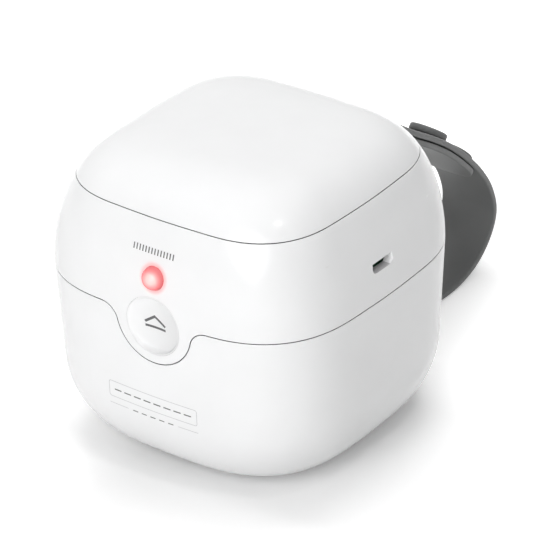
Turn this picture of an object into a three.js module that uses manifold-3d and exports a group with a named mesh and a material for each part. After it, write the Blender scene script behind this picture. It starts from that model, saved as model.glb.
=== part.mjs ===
// Pocket ultraviolet sterilizer box with a hinged lid, a press-to-open latch and a silicone carrying strap.
// Millimetres. +Z is up, the front faces -Y, and the origin is the centre of the foot on the table.
import * as THREE from "three";
import { mergeVertices } from "three/addons/utils/BufferGeometryUtils.js";
import Module from "manifold-3d";

// Outer shape of the casing
const bodyHalf = 37.5; // half the width at the parting line
const partingZ = 42.6; // where the lid meets the base
const lidHeight = 29.8;
const coverHeight = 8.5;
const bodyHeight = partingZ + lidHeight;
const capSeamZ = bodyHeight - coverHeight; // where the top cover meets the lid shell
const bottomZ = 0.5; // the casing's flat underside, clear of the table
const bottomInset = 16.6; // the flat underside's edge lies this far inside the casing's side
const bottomHalf = bodyHalf - bottomInset;
const bottomRound = 18.5; // height of the rounded lower edge
const sideDraft = 0.8;
const crownRise = 0.99;
const shoulderPower = 1.72;
const shoulderFlatPower = 5.84;
const cornerPower = 2.47;
const bottomCornerShare = 0.771;
const partingCornerShare = 0.656;
const topCornerShare = 0.59;
const sideBulgeShare = 0.0266;
const wall = 2;
const floorThickness = 2;
const seamGap = 0.26;
const fitGap = 0.3; // clearance between neighbouring pieces
const overrun = 5; // how far a cut runs past what it cuts

// Tongue of the lid that dips into the front of the base
const dipRadius = 10;
const dipCentreZ = 41.45;
const dipShoulder = 4.4;
const frontShift = 1.3; // the tongue and both buttons stand this far to the right

// Open button
const openRadius = 7;
const openZ = 40.6;
const openThickness = 2.7;
const openDishDepth = 1;
const openFlangeRadius = 7.9;
const openFlangeThickness = 0.8;
const openSlit = 0.12; // hairline round the button
const openRim = 0.5; // flat ring round the dish

// Power button
const powerRadius = 2.9;
const powerZ = 52.2;
const powerStand = 2.4; // how far the dome stands out
const powerTravel = 0.4;
const powerFlangeRadius = 3.4;
const powerFlangeThickness = 0.7;
const plungerRadius = 1.2;

// Chamber cup, its rim and the parts that meet it
const chamberInset = 8.6;
const chamberHalf = bodyHalf - chamberInset; // inner half width at the rim
const chamberWall = 1.2;
const chamberBack = 1.6; // the chamber sits this far behind the centre
const chamberUnderZ = 8.5;
const chamberRound = 9;
const chamberBottomShare = 0.64;
const chamberDraftShare = 0.06;
const flangeTopZ = 42;
const flangeThickness = 1.1;
const latchBayHalf = 11.5;

// Lid interior
const plateZ = 42.8;
const plateThickness = 1.8;
const gasketWidth = 1.4;
const gasketHeight = 1.1;
const bossInset = 5.3;
const bossX = bodyHalf - bossInset;
const bossBackShare = 0.4933;
const bossY = bodyHalf * bossBackShare;
const bossRadius = 2.2;
const bossDrop = 6.9;
const bossTopZ = capSeamZ - bossDrop;
const lipDrop = 2.6;
const lipThickness = 1.2;

// Lamp stack
const windowRadius = 10.5;
const windowThickness = 1;
const apertureRadius = 8.6;
const collarWall = 1.6;
const collarHeight = 4.4;
const spacerHeight = 1;
const lampBoardThickness = 1.2;
const ledSize = 3.5;
const ledHeight = 0.8;
const ledSpread = 3.4;

// Boards, battery and connector
const boardThickness = 1.2;
const mainBoardClear = 1.3; // from its ends to the screw bosses
const mainBoardLength = 2 * (bossY - bossRadius - mainBoardClear);
const mainBoardInset = 4.3;
const mainBoardOuterX = bodyHalf - mainBoardInset;
const portWidth = 7.5;
const portHeight = 2.6;
const portDepth = 5.2;
const portWall = 0.35;
const portZ = 50.6;
const portY = -1.8;
const slotWidth = 7.2;
const slotHeight = 2.3;
const slotChamfer = 0.9;
const slotLead = 0.5;
const postRadius = 2;
const postInset = 3.5;
const postPlace = mainBoardLength / 2 - postInset;
const sensorSize = 3;
const sensorHeight = 1;
const batteryHalf = 16;
const batteryClear = 4.2; // from the cell to the main board beside it
const mainBoardInnerX = batteryHalf + batteryClear;
const mainBoardWidth = mainBoardOuterX - mainBoardInnerX;
const batteryHeight = 8;
const trayZ = 50.9;
const trayThickness = 1.2;
const trayLip = 3.6;
const trayLegRadius = 1.8;
const trayLegInset = 2.4;
const buttonBoardHalf = 8.5;
const buttonBoardHeight = 11;
const buttonBoardInset = 8.9;
const buttonBoardY = -bodyHalf + buttonBoardInset; // front face
const railWidth = 1.6;
const railDepth = 3.2;
const switchSize = 4;
const switchDepth = 1.5;
const lampChip = 1.6;
const leadRadius = 0.7;
const leadSteps = 12;
const leadSides = 3;

// Latch
const pinRadius = 0.75;
const pinInset = 4.9;
const pinY = -bodyHalf + pinInset;
const pinZ = 45.9;
const earThickness = 1.6;
const earInnerX = 5.6;
const leverHalf = 4;
const leverBossRadius = 1.2;
const leverThickness = 1;
const leverInset = 4.1;
const leverFrontY = -bodyHalf + leverInset;
const hookZ = 28.3;
const hookThickness = 1;
const hookReach = 1.4;
const padRadius = 2;
const latchCoverHalf = 8.4;
const latchCoverInset = 7.3;
const latchCoverY = -bodyHalf + latchCoverInset; // front face
const latchCoverThickness = 1;
const latchCoverBottomZ = 32.5;
const catchHalf = 7;
const catchThickness = 0.8;
const catchBottomZ = 24.5;
const catchLedge = 1.1;
const springRadius = 1.6;
const springWire = 0.22;
const springPitch = 0.95;
const springTurns = 3;
const springLeg = 5;

// Fasteners and small round parts
const lidScrew = { shank: 0.8, head: 1.6, headHeight: 0.8, length: 6.5 };
const footScrew = { shank: 1, head: 2, headHeight: 0.9, length: 5 };
const boardScrew = { shank: 0.8, head: 1.7, headHeight: 0.9, length: 3.2 };
const magnetRadius = 2;
const magnetHeight = 2;

// Hinge
const hingeOut = 0.35; // the axis stands this far behind the casing
const knuckleRadius = 2.1;
const knuckleClear = 0.4;
const lidKnuckleHalf = 7.8;
const hingeHalf = 13;
const hingePinRadius = 0.9;
const hingeWebHeight = 3.6;

// Foot
const padInset = 1.4;
const padHalf = bottomHalf - padInset;
const padThickness = 1.6;
const footScrewInset = 8;
const footScrewPlace = padHalf - footScrewInset;
const footScrewRise = 8.5; // length of the cup's screw posts and their sockets together
const counterbore = 1.2;

// Strap
const strapWidth = 15;
const strapThickness = 1.4;
const strapReach = 50.7; // from the casing's back to the far side of the loop
const strapTopDrop = 0.7; // its end lies this far under the cover's seam
const strapTopZ = capSeamZ - strapTopDrop;
const strapLift = 0.35; // its lowest stretch above the table
const strapSlotClear = 0.35;
const studHeadRadius = 4.6;
const studHeadHeight = 1.3;
const studStemRadius = 1.6;
const anchorHalf = 9.5;
const anchorThickness = 1.2;
const anchorHeight = 2.8;
const upperSlotDrop = 3.7;
const upperSlotZ = capSeamZ - upperSlotDrop;
const lowerSlotZ = 10.7;
const tongueStartShare = 0.06; // where the inner layer joins the outer one
const tongueEndShare = 0.418; // where along the loop it ends
const studPlaceShares = [0.2905, 0.3955];

const sectionSteps = 10; // points in a quarter of the casing's outline
const insideSteps = 7; // the same on inner walls
const roundSteps = 16;
const fineSteps = 32;

const wasm = await Module();
wasm.setup();

// Turns a closed three.js geometry into a solid.
function solid(geometry) {
  const bare = geometry.index ? geometry.toNonIndexed() : geometry.clone();
  bare.deleteAttribute("normal");
  bare.deleteAttribute("uv");
  const merged = mergeVertices(bare, 1e-4);
  return new wasm.Manifold(
    new wasm.Mesh({
      numProp: 3,
      vertProperties: merged.attributes.position.array,
      triVerts: new Uint32Array(merged.index.array),
    }),
  );
}

const join = (...solids) => solids.reduce((all, next) => all.add(next));
const cut = (whole, ...tools) => tools.reduce((left, tool) => left.subtract(tool), whole);

const box = (x0, x1, y0, y1, z0, z1) =>
  solid(
    new THREE.BoxGeometry(x1 - x0, y1 - y0, z1 - z0).translate(
      (x0 + x1) / 2,
      (y0 + y1) / 2,
      (z0 + z1) / 2,
    ),
  );

// A round bar along one axis, from one end to the other, with its centre line through the other two places.
function bar(axis, radius, from, to, u, v, steps = roundSteps) {
  const shape = new THREE.CylinderGeometry(radius, radius, to - from, steps);
  const middle = (from + to) / 2;
  if (axis === "x") shape.rotateZ(-Math.PI / 2).translate(middle, u, v);
  if (axis === "y") shape.translate(u, middle, v);
  if (axis === "z") shape.rotateX(Math.PI / 2).translate(u, v, middle);
  return solid(shape);
}

// An outline of [x, z] points drawn in the front view and carried from y0 to y1.
function frontPrism(points, y0, y1) {
  const outline = new THREE.Shape(points.map(([x, z]) => new THREE.Vector2(x, z)));
  const shape = new THREE.ExtrudeGeometry(outline, { depth: y1 - y0, bevelEnabled: false });
  return solid(shape.rotateX(Math.PI / 2).translate(0, y1, 0));
}

// An outline of [y, z] points drawn in the side view and carried from x0 to x1.
function sidePrism(points, x0, x1) {
  const outline = new THREE.Shape(points.map(([y, z]) => new THREE.Vector2(y, z)));
  const shape = new THREE.ExtrudeGeometry(outline, { depth: x1 - x0, bevelEnabled: false });
  return solid(shape.rotateX(Math.PI / 2).rotateZ(Math.PI / 2).translate(x0, 0, 0));
}

// A tube with round section along a list of points.
function tube(points, radius, steps, sides) {
  const path = new THREE.CatmullRomCurve3(points.map((p) => new THREE.Vector3(...p)));
  const ring = new THREE.Shape();
  ring.absarc(0, 0, radius, 0, 2 * Math.PI);
  const options = { steps, extrudePath: path, curveSegments: sides, bevelEnabled: false };
  return solid(new THREE.ExtrudeGeometry(ring, options));
}

// Points of an arc in a plane view.
function arc(u, v, radius, from, to, steps = sectionSteps) {
  const points = [];
  for (let i = 0; i <= steps; i++) {
    const angle = from + ((to - from) * i) / steps;
    points.push([u + radius * Math.cos(angle), v + radius * Math.sin(angle)]);
  }
  return points;
}

// The casing's outline at one height: a square with soft superelliptic corners and slightly swelling sides.
function section(half, cornerShare, steps) {
  const points = [];
  for (let quarter = 0; quarter < 4; quarter++) {
    for (let i = 0; i < steps; i++) {
      const t = ((i / steps) * Math.PI) / 2;
      const blunt = (Math.cos(t) ** cornerPower + Math.sin(t) ** cornerPower) ** (-1 / cornerPower);
      const straight = 1 - cornerShare;
      const x = straight + cornerShare * blunt * Math.cos(t);
      const y = i === 0 ? 0 : straight + cornerShare * blunt * Math.sin(t);
      const swell = 1 - (sideBulgeShare * (1 - Math.cos(4 * Math.atan2(y, x)))) / 2;
      const turn = (quarter * Math.PI) / 2;
      points.push([
        half * swell * (x * Math.cos(turn) - y * Math.sin(turn)),
        half * swell * (x * Math.sin(turn) + y * Math.cos(turn)),
      ]);
    }
  }
  return points;
}

// A closed solid through outlines stacked in z. A ring is { z, half, corner }; a half of zero is a point.
function loft(rings, centreY = 0, steps = sectionSteps) {
  const positions = [];
  const triangle = (a, b, c) => positions.push(...a, ...b, ...c);
  const outlines = rings.map(({ z, half, corner }) =>
    section(half, corner, steps).map(([x, y]) => [x, y + centreY, z]),
  );
  const centres = rings.map(({ z }) => [0, centreY, z]);
  const count = outlines[0].length;
  for (let i = 0; i < count; i++) {
    const next = (i + 1) % count;
    triangle(centres[0], outlines[0][next], outlines[0][i]);
    for (let level = 0; level + 1 < rings.length; level++) {
      const low = outlines[level];
      const high = outlines[level + 1];
      triangle(low[i], low[next], high[i]);
      if (rings[level + 1].half > 0) triangle(low[next], high[next], high[i]);
    }
    const last = outlines[rings.length - 1];
    if (rings[rings.length - 1].half > 0) triangle(centres[rings.length - 1], last[i], last[next]);
  }
  const geometry = new THREE.BufferGeometry();
  geometry.setAttribute("position", new THREE.Float32BufferAttribute(positions, 3));
  return solid(geometry);
}

// The corner share changes smoothly up the casing.
function cornerAt(z) {
  if (z < partingZ) {
    return THREE.MathUtils.lerp(bottomCornerShare, partingCornerShare, z / partingZ);
  }
  const share = (z - partingZ) / (bodyHeight - partingZ);
  return THREE.MathUtils.lerp(partingCornerShare, topCornerShare, share);
}

// Half width of the lower casing at a height, with the surface moved in by an inset.
function lowerHalf(z, inset = 0) {
  const share = Math.min(Math.max((z - bottomZ - inset) / (bottomRound - inset), 0), 1);
  const edge = bodyHalf - bottomHalf - sideDraft;
  return (
    bottomHalf - inset + edge * Math.sqrt(1 - (1 - share) ** 2) + (sideDraft * z) / partingZ
  );
}

// The upper casing is swept by an angle: 0 at the parting line and a quarter turn at the crown.
function upperRing(angle, inset = 0) {
  const share = Math.cos(angle) ** (2 / shoulderFlatPower);
  const rise = bodyHeight - partingZ - crownRise - inset;
  const lift = rise * Math.sin(angle) ** (2 / shoulderPower);
  return { z: partingZ + lift + crownRise * (1 - share ** 2), half: (bodyHalf - inset) * share };
}

// Half width of the upper casing at a height, found by halving.
function upperHalf(z, inset = 0) {
  let low = 0;
  let high = Math.PI / 2;
  for (let i = 0; i < 40; i++) {
    const middle = (low + high) / 2;
    if (upperRing(middle, inset).z < z) low = middle;
    else high = middle;
  }
  return upperRing(low, inset).half;
}

const halfAt = (z, inset = 0) => (z < partingZ ? lowerHalf(z, inset) : upperHalf(z, inset));
const ringAt = (z, inset = 0) => ({ z, half: halfAt(z, inset), corner: cornerAt(z) });

// Heights of the rings from one level to another, closer together round the lower edge.
function levels(from, to, steps) {
  return Array.from({ length: steps + 1 }, (_, i) => from + ((to - from) * i) / steps);
}
function roundLevels(from, to, steps) {
  return levels(0, Math.PI / 2, steps).map((a) => from + (to - from) * (1 - Math.cos(a)));
}

// Lower casing
const lowerTop = partingZ + seamGap;
const lowerEdgeTop = bottomZ + bottomRound;
const innerFloorZ = bottomZ + padThickness + floorThickness;
const lowerOuter = () =>
  loft(
    [...roundLevels(bottomZ, lowerEdgeTop, 6), ...levels(lowerEdgeTop, lowerTop, 1).slice(1)].map(
      (z) => ({ z, half: lowerHalf(Math.min(z, partingZ)), corner: cornerAt(Math.min(z, partingZ)) }),
    ),
  );
function lowerInner() {
  const inset = innerFloorZ - bottomZ;
  const half = (z) => lowerHalf(z, inset) + inset - wall;
  return loft(
    [
      ...roundLevels(innerFloorZ, lowerEdgeTop, 4),
      ...levels(lowerEdgeTop, lowerTop + overrun, 1).slice(1),
    ].map((z) => ({ z, half: half(Math.min(z, partingZ)), corner: cornerAt(Math.min(z, partingZ)) })),
    0,
    insideSteps,
  );
}

// Upper casing down to the bottom of the tongue
const tongueFootZ = dipCentreZ - dipRadius;
const capSeamAngle = (() => {
  let low = 0;
  let high = Math.PI / 2;
  for (let i = 0; i < 40; i++) {
    const middle = (low + high) / 2;
    if (upperRing(middle).z < capSeamZ) low = middle;
    else high = middle;
  }
  return low;
})();
function upperRings(fromAngle, toAngle, steps, inset = 0) {
  return levels(fromAngle, toAngle, steps).map((angle) => {
    const ring = upperRing(angle, inset);
    return { ...ring, corner: cornerAt(Math.min(ring.z, bodyHeight)) };
  });
}

// The front outline of the tongue, [x, z], from one shoulder to the other. A positive offset grows it.
function dipOutline(offset) {
  const radius = dipRadius + offset;
  const shoulder = dipShoulder - offset;
  const seamZ = partingZ - offset;
  const drop = seamZ - shoulder - dipCentreZ;
  const shoulderX = Math.sqrt((radius + shoulder) ** 2 - drop ** 2);
  const touch = Math.atan2(drop, shoulderX);
  const right = arc(shoulderX, seamZ - shoulder, shoulder, Math.PI / 2, Math.PI + touch, 6);
  const bowl = arc(0, dipCentreZ, radius, touch, -Math.PI - touch, 24);
  const left = right.map(([x, z]) => [-x, z]).reverse();
  return [...right, ...bowl.slice(1, -1), ...left].map(([x, z]) => [x + frontShift, z]);
}

// Everything under the seam, in front of and behind the middle. A positive offset grows the lid's side.
function underSeam(offset) {
  const side = bodyHalf + overrun;
  const seamZ = partingZ - offset;
  const outline = [[side, -overrun], [side, seamZ], ...dipOutline(offset)];
  return join(
    frontPrism([...outline, [-side, seamZ], [-side, -overrun]], -side, 0),
    box(-side, side, 0, side, -overrun, seamZ),
  );
}
function overSeam(offset) {
  const side = bodyHalf + overrun;
  const seamZ = partingZ - offset;
  const top = bodyHeight + overrun;
  const outline = [[side, top], [side, seamZ], ...dipOutline(offset)];
  return join(
    frontPrism([...outline, [-side, seamZ], [-side, top]], -side, 0),
    box(-side, side, 0, side, seamZ, top),
  );
}

// Hinge
const hingeY = bodyHalf + hingeOut;
const knuckle = (from, to, radius) => bar("x", radius, from, to, hingeY, partingZ);
const pinHole = knuckle(-hingeHalf - overrun, hingeHalf + overrun, hingePinRadius + fitGap);
const insideY = bodyHalf - wall; // inner face of the casing at the parting line
const baseKnuckleFrom = lidKnuckleHalf + fitGap;

// Strap route: the outer face of the outer layer, as shares of its reach behind the casing and of its height.
const strapShares = [
  [-0.036, 1], [0.08, 0.934], [0.205, 0.858], [0.346, 0.781], [0.49, 0.708], [0.632, 0.626],
  [0.777, 0.521], [0.883, 0.427], [0.959, 0.334], [0.997, 0.236], [0.984, 0.172], [0.93, 0.104],
  [0.842, 0.047], [0.73, 0.013], [0.6, 0], [0.45, 0.009], [0.3, 0.033], [0.15, 0.078],
  [0.03, 0.129], [-0.05, 0.149], [-0.148, 0.151],
];
const strapRoute = new THREE.CatmullRomCurve3(
  strapShares.map(
    ([reach, height]) =>
      new THREE.Vector3(
        bodyHalf + strapReach * reach,
        strapLift + (strapTopZ - strapLift) * height,
        0,
      ),
  ),
);
// A point of the strap: how far along the route it lies, and how deep under the outer face.
function strapPoint(share, depth) {
  const place = strapRoute.getPointAt(share);
  const along = strapRoute.getTangentAt(share);
  return [place.x + along.y * depth, place.y - along.x * depth];
}
function strapLayer(from, to, depth, steps) {
  const shares = levels(from, to, steps);
  const outer = shares.map((share) => strapPoint(share, depth));
  const inner = shares.map((share) => strapPoint(share, depth + strapThickness));
  return [...outer, ...inner.reverse()];
}
const tongueDepth = strapThickness + fitGap;

function topCover() {
  const bottom = capSeamZ + seamGap / 2;
  const outer = loft([
    { ...ringAt(bottom) },
    ...upperRings(capSeamAngle, Math.PI / 2, 7).slice(1),
  ]);
  const inner = loft([
    { ...ringAt(bottom - overrun, wall) },
    ...upperRings(capSeamAngle, Math.PI / 2, 4, wall).slice(1),
  ], 0, insideSteps);
  const lipHalf = halfAt(capSeamZ, wall) - fitGap;
  const lipRings = (half, from, to) => [from, to].map((z) => ({ z, half, corner: cornerAt(capSeamZ) }));
  const lipTop = bottom + wall;
  const lip = cut(
    loft(lipRings(lipHalf, capSeamZ - lipDrop, lipTop), 0, insideSteps),
    loft(lipRings(lipHalf - lipThickness, capSeamZ - overrun, lipTop + overrun), 0, insideSteps),
  );
  return join(cut(outer, inner), lip);
}

// Four places at one distance from the chamber's or the casing's middle
const corners = [[1, 1], [-1, 1], [-1, -1], [1, -1]];

function lidShell() {
  const top = capSeamZ - seamGap / 2;
  const heights = [tongueFootZ - seamGap, partingZ, ...levels(partingZ, top, 4).slice(1)];
  const outer = loft(heights.map((z) => ringAt(z)));
  const innerRings = [tongueFootZ - overrun, partingZ, ...levels(partingZ, top, 4).slice(1)].map((z) => ({
    ...ringAt(z, wall),
    half: z < partingZ ? bodyHalf - wall : halfAt(z, wall),
  }));
  const inner = loft([...innerRings, { ...ringAt(top, wall), z: top + overrun }], 0, insideSteps);
  let shell = cut(outer, inner, underSeam(-seamGap / 2));
  for (const [x, y] of corners) {
    const foot = plateZ + plateThickness + fitGap;
    const boss = bar("z", bossRadius, foot, bossTopZ, x * bossX, y * bossY);
    const rib = box(
      x > 0 ? bossX : -bossX - bossRadius,
      x > 0 ? bossX + bossRadius : -bossX,
      y * bossY - bossRadius / 2,
      y * bossY + bossRadius / 2,
      foot,
      bossTopZ,
    );
    const trimmed = join(boss, rib).intersect(outer);
    shell = cut(
      join(shell, trimmed),
      bar("z", lidScrew.shank + fitGap, foot - overrun, foot + lidScrew.length, x * bossX, y * bossY),
    );
  }
  const outside = -bodyHalf - overrun;
  const inside = -bodyHalf + wall + overrun;
  const open = bar("y", openRadius + openSlit, outside, inside, frontShift, openZ, fineSteps);
  const power = bar("y", powerRadius + openSlit, outside, inside, frontShift, powerZ, fineSteps);
  const strapSlot = box(
    -strapWidth / 2 - strapSlotClear,
    strapWidth / 2 + strapSlotClear,
    insideY - overrun,
    bodyHalf + overrun,
    upperSlotZ - strapThickness / 2 - strapSlotClear,
    upperSlotZ + strapThickness / 2 + strapSlotClear,
  );
  const hingeRoom = [1, -1].map((side) =>
    bar(
      "x",
      knuckleRadius + knuckleClear,
      side > 0 ? lidKnuckleHalf : -hingeHalf - fitGap,
      side > 0 ? hingeHalf + fitGap : -lidKnuckleHalf,
      hingeY,
      partingZ,
    ),
  );
  const web = box(
    -lidKnuckleHalf + fitGap,
    lidKnuckleHalf - fitGap,
    insideY + fitGap,
    hingeY,
    partingZ + seamGap,
    partingZ + hingeWebHeight,
  );
  shell = cut(shell, open, power, strapSlot, portSlot(), ...hingeRoom);
  return cut(
    join(shell, web, knuckle(-lidKnuckleHalf + fitGap, lidKnuckleHalf - fitGap, knuckleRadius)),
    pinHole,
  );
}

// The connector's opening in the right side: a slot with its lower corners cut off and a flared mouth.
function portSlot() {
  const slot = (grow) => {
    const half = slotWidth / 2 + grow;
    const tall = slotHeight / 2 + grow;
    return [
      [half, portZ + tall], [-half, portZ + tall], [-half, portZ - tall + slotChamfer],
      [-half + slotChamfer, portZ - tall], [half - slotChamfer, portZ - tall],
      [half, portZ - tall + slotChamfer],
    ];
  };
  const face = halfAt(portZ);
  const inner = sidePrism(slot(0), face - wall - overrun, face + overrun);
  const mouth = sidePrism(slot(slotLead), face - slotLead, face + overrun);
  return join(inner, mouth).translate([0, portY, 0]);
}

const plateTop = plateZ + plateThickness;
const windowZ = plateTop + fitGap;
const spacerZ = windowZ + windowThickness + fitGap;
const lampBoardZ = spacerZ + spacerHeight + fitGap;

function lampPlate() {
  const half = bodyHalf - wall - fitGap;
  const rings = (size) => [plateZ, plateTop].map((z) => ({ z, half: size, corner: partingCornerShare }));
  const collarOuter = windowRadius + fitGap + collarWall;
  const collar = bar("z", collarOuter, plateZ, plateTop + collarHeight, 0, chamberBack, fineSteps);
  const groove = gasketRing(gasketWidth + fitGap * 2, plateZ - overrun, gasketZ + gasketHeight + fitGap);
  const latchSlot = box(
    -latchCoverHalf - fitGap,
    openFlangeRadius + frontShift + fitGap,
    -bodyHalf,
    latchCoverY - fitGap,
    plateZ - overrun,
    plateTop + overrun,
  );
  const ears = [earInnerX, -earInnerX - earThickness].map((x) =>
    box(
      x,
      x + earThickness,
      pinY - leverBossRadius,
      latchCoverY + latchCoverThickness,
      plateTop - fitGap,
      pinZ + leverBossRadius,
    ),
  );
  const rails = [buttonBoardHalf + fitGap, -buttonBoardHalf - fitGap - railWidth].map((x) =>
    box(
      x,
      x + railWidth,
      buttonBoardY - fitGap - railWidth / 2,
      buttonBoardY - fitGap - railWidth / 2 + railDepth,
      plateTop - fitGap,
      plateTop + buttonBoardHeight / 2,
    ),
  );
  const posts = [postPlace, -postPlace].map((y) =>
    bar("z", postRadius, plateTop - fitGap, mainBoardZ - fitGap, mainBoardX, y),
  );
  const postHoles = [postPlace, -postPlace].map((y) =>
    bar("z", boardScrew.shank + fitGap, plateTop - plateThickness / 2, mainBoardZ, mainBoardX, y),
  );
  const screwHoles = corners.flatMap(([x, y]) => [
    bar("z", lidScrew.shank + fitGap, plateZ - overrun, plateTop + overrun, x * bossX, y * bossY),
    bar("z", lidScrew.head + fitGap, plateZ - overrun, plateZ + lidScrew.headHeight, x * bossX, y * bossY),
  ]);
  return cut(
    join(loft(rings(half), 0, insideSteps), collar, ...ears, ...rails, ...posts),
    bar("z", windowRadius + fitGap, plateTop, plateTop + collarHeight + overrun, 0, chamberBack, fineSteps),
    bar("z", apertureRadius, plateZ - overrun, plateTop + overrun, 0, chamberBack, fineSteps),
    groove,
    latchSlot,
    bar("x", pinRadius + fitGap, -bodyHalf, bodyHalf, pinY, pinZ),
    ...postHoles,
    ...screwHoles,
  );
}

const gasketZ = flangeTopZ + fitGap;
function gasketRing(width, from, to) {
  const middle = chamberHalf + chamberWall / 2;
  const rings = (half, low, high) => [low, high].map((z) => ({ z, half, corner: partingCornerShare }));
  return cut(
    loft(rings(middle + width / 2, from, to), chamberBack, insideSteps),
    loft(rings(middle - width / 2, from - overrun, to + overrun), chamberBack, insideSteps),
  );
}

const disc = (radius, from, height) => bar("z", radius, from, from + height, 0, chamberBack, fineSteps);

// Main board along the right side, under the connector
const mainBoardZ = portZ - portHeight / 2 - fitGap - boardThickness;
const mainBoardX = mainBoardOuterX - mainBoardWidth / 2;
const mainBoard = () =>
  cut(
    box(
      mainBoardOuterX - mainBoardWidth,
      mainBoardOuterX,
      -mainBoardLength / 2,
      mainBoardLength / 2,
      mainBoardZ,
      mainBoardZ + boardThickness,
    ),
    ...[postPlace, -postPlace].map((y) =>
      bar("z", boardScrew.shank + fitGap, mainBoardZ - overrun, mainBoardZ + overrun, mainBoardX, y),
    ),
  );

function usbPort() {
  const mouth = halfAt(portZ + portHeight, wall) - fitGap;
  const outline = (inset) => {
    const half = portWidth / 2 - inset;
    const tall = portHeight / 2 - inset;
    return [
      [half, portZ + tall], [-half, portZ + tall], [-half, portZ - tall + slotChamfer],
      [-half + slotChamfer, portZ - tall], [half - slotChamfer, portZ - tall],
      [half, portZ - tall + slotChamfer],
    ];
  };
  const tab = box(
    mouth - portDepth,
    mouth - portDepth / 4,
    -portWidth / 4,
    portWidth / 4,
    portZ + portWall / 2,
    portZ + portWall * 2,
  );
  const shell = cut(
    sidePrism(outline(0), mouth - portDepth, mouth),
    sidePrism(outline(portWall), mouth - portDepth + portWall, mouth + overrun),
  );
  return join(shell, tab).translate([0, portY, 0]);
}

const batteryZ = trayZ + trayThickness + fitGap;
function batteryTray() {
  const half = batteryHalf + fitGap;
  const legs = corners.map(([x, y]) =>
    bar(
      "z",
      trayLegRadius,
      plateTop + fitGap,
      trayZ + trayThickness / 2,
      x * (batteryHalf - trayLegInset),
      chamberBack + y * (batteryHalf - trayLegInset),
    ),
  );
  const grow = half + trayThickness;
  return join(
    cut(
      box(-grow, grow, chamberBack - grow, chamberBack + grow, trayZ, trayZ + trayThickness + trayLip),
      box(-half, half, chamberBack - half, chamberBack + half, trayZ + trayThickness, trayZ + trayLip + overrun),
    ),
    ...legs,
  );
}

// A pouch cell with softly rounded upright edges
function battery() {
  const soft = batteryHeight / 4;
  const outline = corners.flatMap(([x, y], i) =>
    arc(
      x * (batteryHalf - soft),
      y * (batteryHalf - soft) + chamberBack,
      soft,
      (i * Math.PI) / 2,
      ((i + 1) * Math.PI) / 2,
      4,
    ),
  );
  const shape = new THREE.Shape(outline.map(([x, y]) => new THREE.Vector2(x, y)));
  const cell = new THREE.ExtrudeGeometry(shape, { depth: batteryHeight, bevelEnabled: false });
  return solid(cell.translate(0, 0, batteryZ));
}

const buttonBoardZ = plateTop + fitGap;
const switchFrontY = buttonBoardY - fitGap - switchDepth;
const powerFace = -halfAt(powerZ);
const powerInner = -halfAt(powerZ + powerFlangeRadius, wall) + fitGap;

const buttonBoard = () =>
  box(
    -buttonBoardHalf,
    buttonBoardHalf,
    buttonBoardY,
    buttonBoardY + boardThickness,
    buttonBoardZ,
    buttonBoardZ + buttonBoardHeight,
  );
const tactSwitch = () =>
  join(
    box(
      -switchSize / 2,
      switchSize / 2,
      switchFrontY,
      buttonBoardY - fitGap,
      powerZ - switchSize / 2,
      powerZ + switchSize / 2,
    ),
    bar("y", plungerRadius, switchFrontY - plungerRadius / 2, buttonBoardY - fitGap, 0, powerZ),
  ).translate([frontShift, 0, 0]);
const statusLed = () =>
  box(
    switchSize / 2 + lampChip / 2,
    switchSize / 2 + lampChip * 3 / 2,
    buttonBoardY - fitGap - lampChip / 2,
    buttonBoardY - fitGap,
    powerZ - lampChip / 2,
    powerZ + lampChip / 2,
  ).translate([frontShift, 0, 0]);

// A dome with a flange behind the wall and a stem that reaches the switch
function powerButton() {
  const tip = switchFrontY - plungerRadius / 2 - powerTravel - openSlit;
  const dome = [];
  for (const angle of levels(0, Math.PI / 2, 6)) {
    dome.push([powerRadius * Math.cos(angle), powerStand * Math.sin(angle)]);
  }
  const profile = [
    [0, powerFace - tip],
    [plungerRadius, powerFace - tip],
    [plungerRadius, powerFace - powerInner - powerFlangeThickness],
    [powerFlangeRadius, powerFace - powerInner - powerFlangeThickness],
    [powerFlangeRadius, powerFace - powerInner],
    [powerRadius, powerFace - powerInner],
    ...dome,
  ].map(([r, out]) => new THREE.Vector2(Math.max(r, 0), out));
  profile[profile.length - 1].x = 0;
  const shape = new THREE.LatheGeometry(profile, fineSteps);
  return solid(shape.rotateX(Math.PI).translate(frontShift, powerFace, powerZ));
}

// A dished disc whose flange sits behind the tongue's wall
const openFlangeTopZ = pinZ - leverBossRadius - 2 * fitGap;
const openFlangeY = -halfAt(openFlangeTopZ, wall) + fitGap * 2;
function openButton() {
  const face = -halfAt(openZ) + openSlit;
  const back = face + openThickness;
  const dishChord = openRadius - openRim;
  const dishRadius = (dishChord ** 2 + openDishDepth ** 2) / (2 * openDishDepth);
  const dish = new THREE.SphereGeometry(dishRadius, fineSteps * 2, fineSteps);
  const flangeBack = openFlangeY + openFlangeThickness;
  const flange = bar("y", openFlangeRadius, openFlangeY, flangeBack, frontShift, openZ, fineSteps);
  const flangeTop = box(
    -bodyHalf,
    bodyHalf,
    openFlangeY - fitGap,
    openFlangeY + overrun,
    openFlangeTopZ,
    bodyHeight,
  );
  return cut(
    join(bar("y", openRadius, face, back, frontShift, openZ, fineSteps), cut(flange, flangeTop)),
    solid(dish.rotateX(Math.PI / 2).translate(frontShift, face - dishRadius + openDishDepth, openZ)),
  );
}

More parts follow.
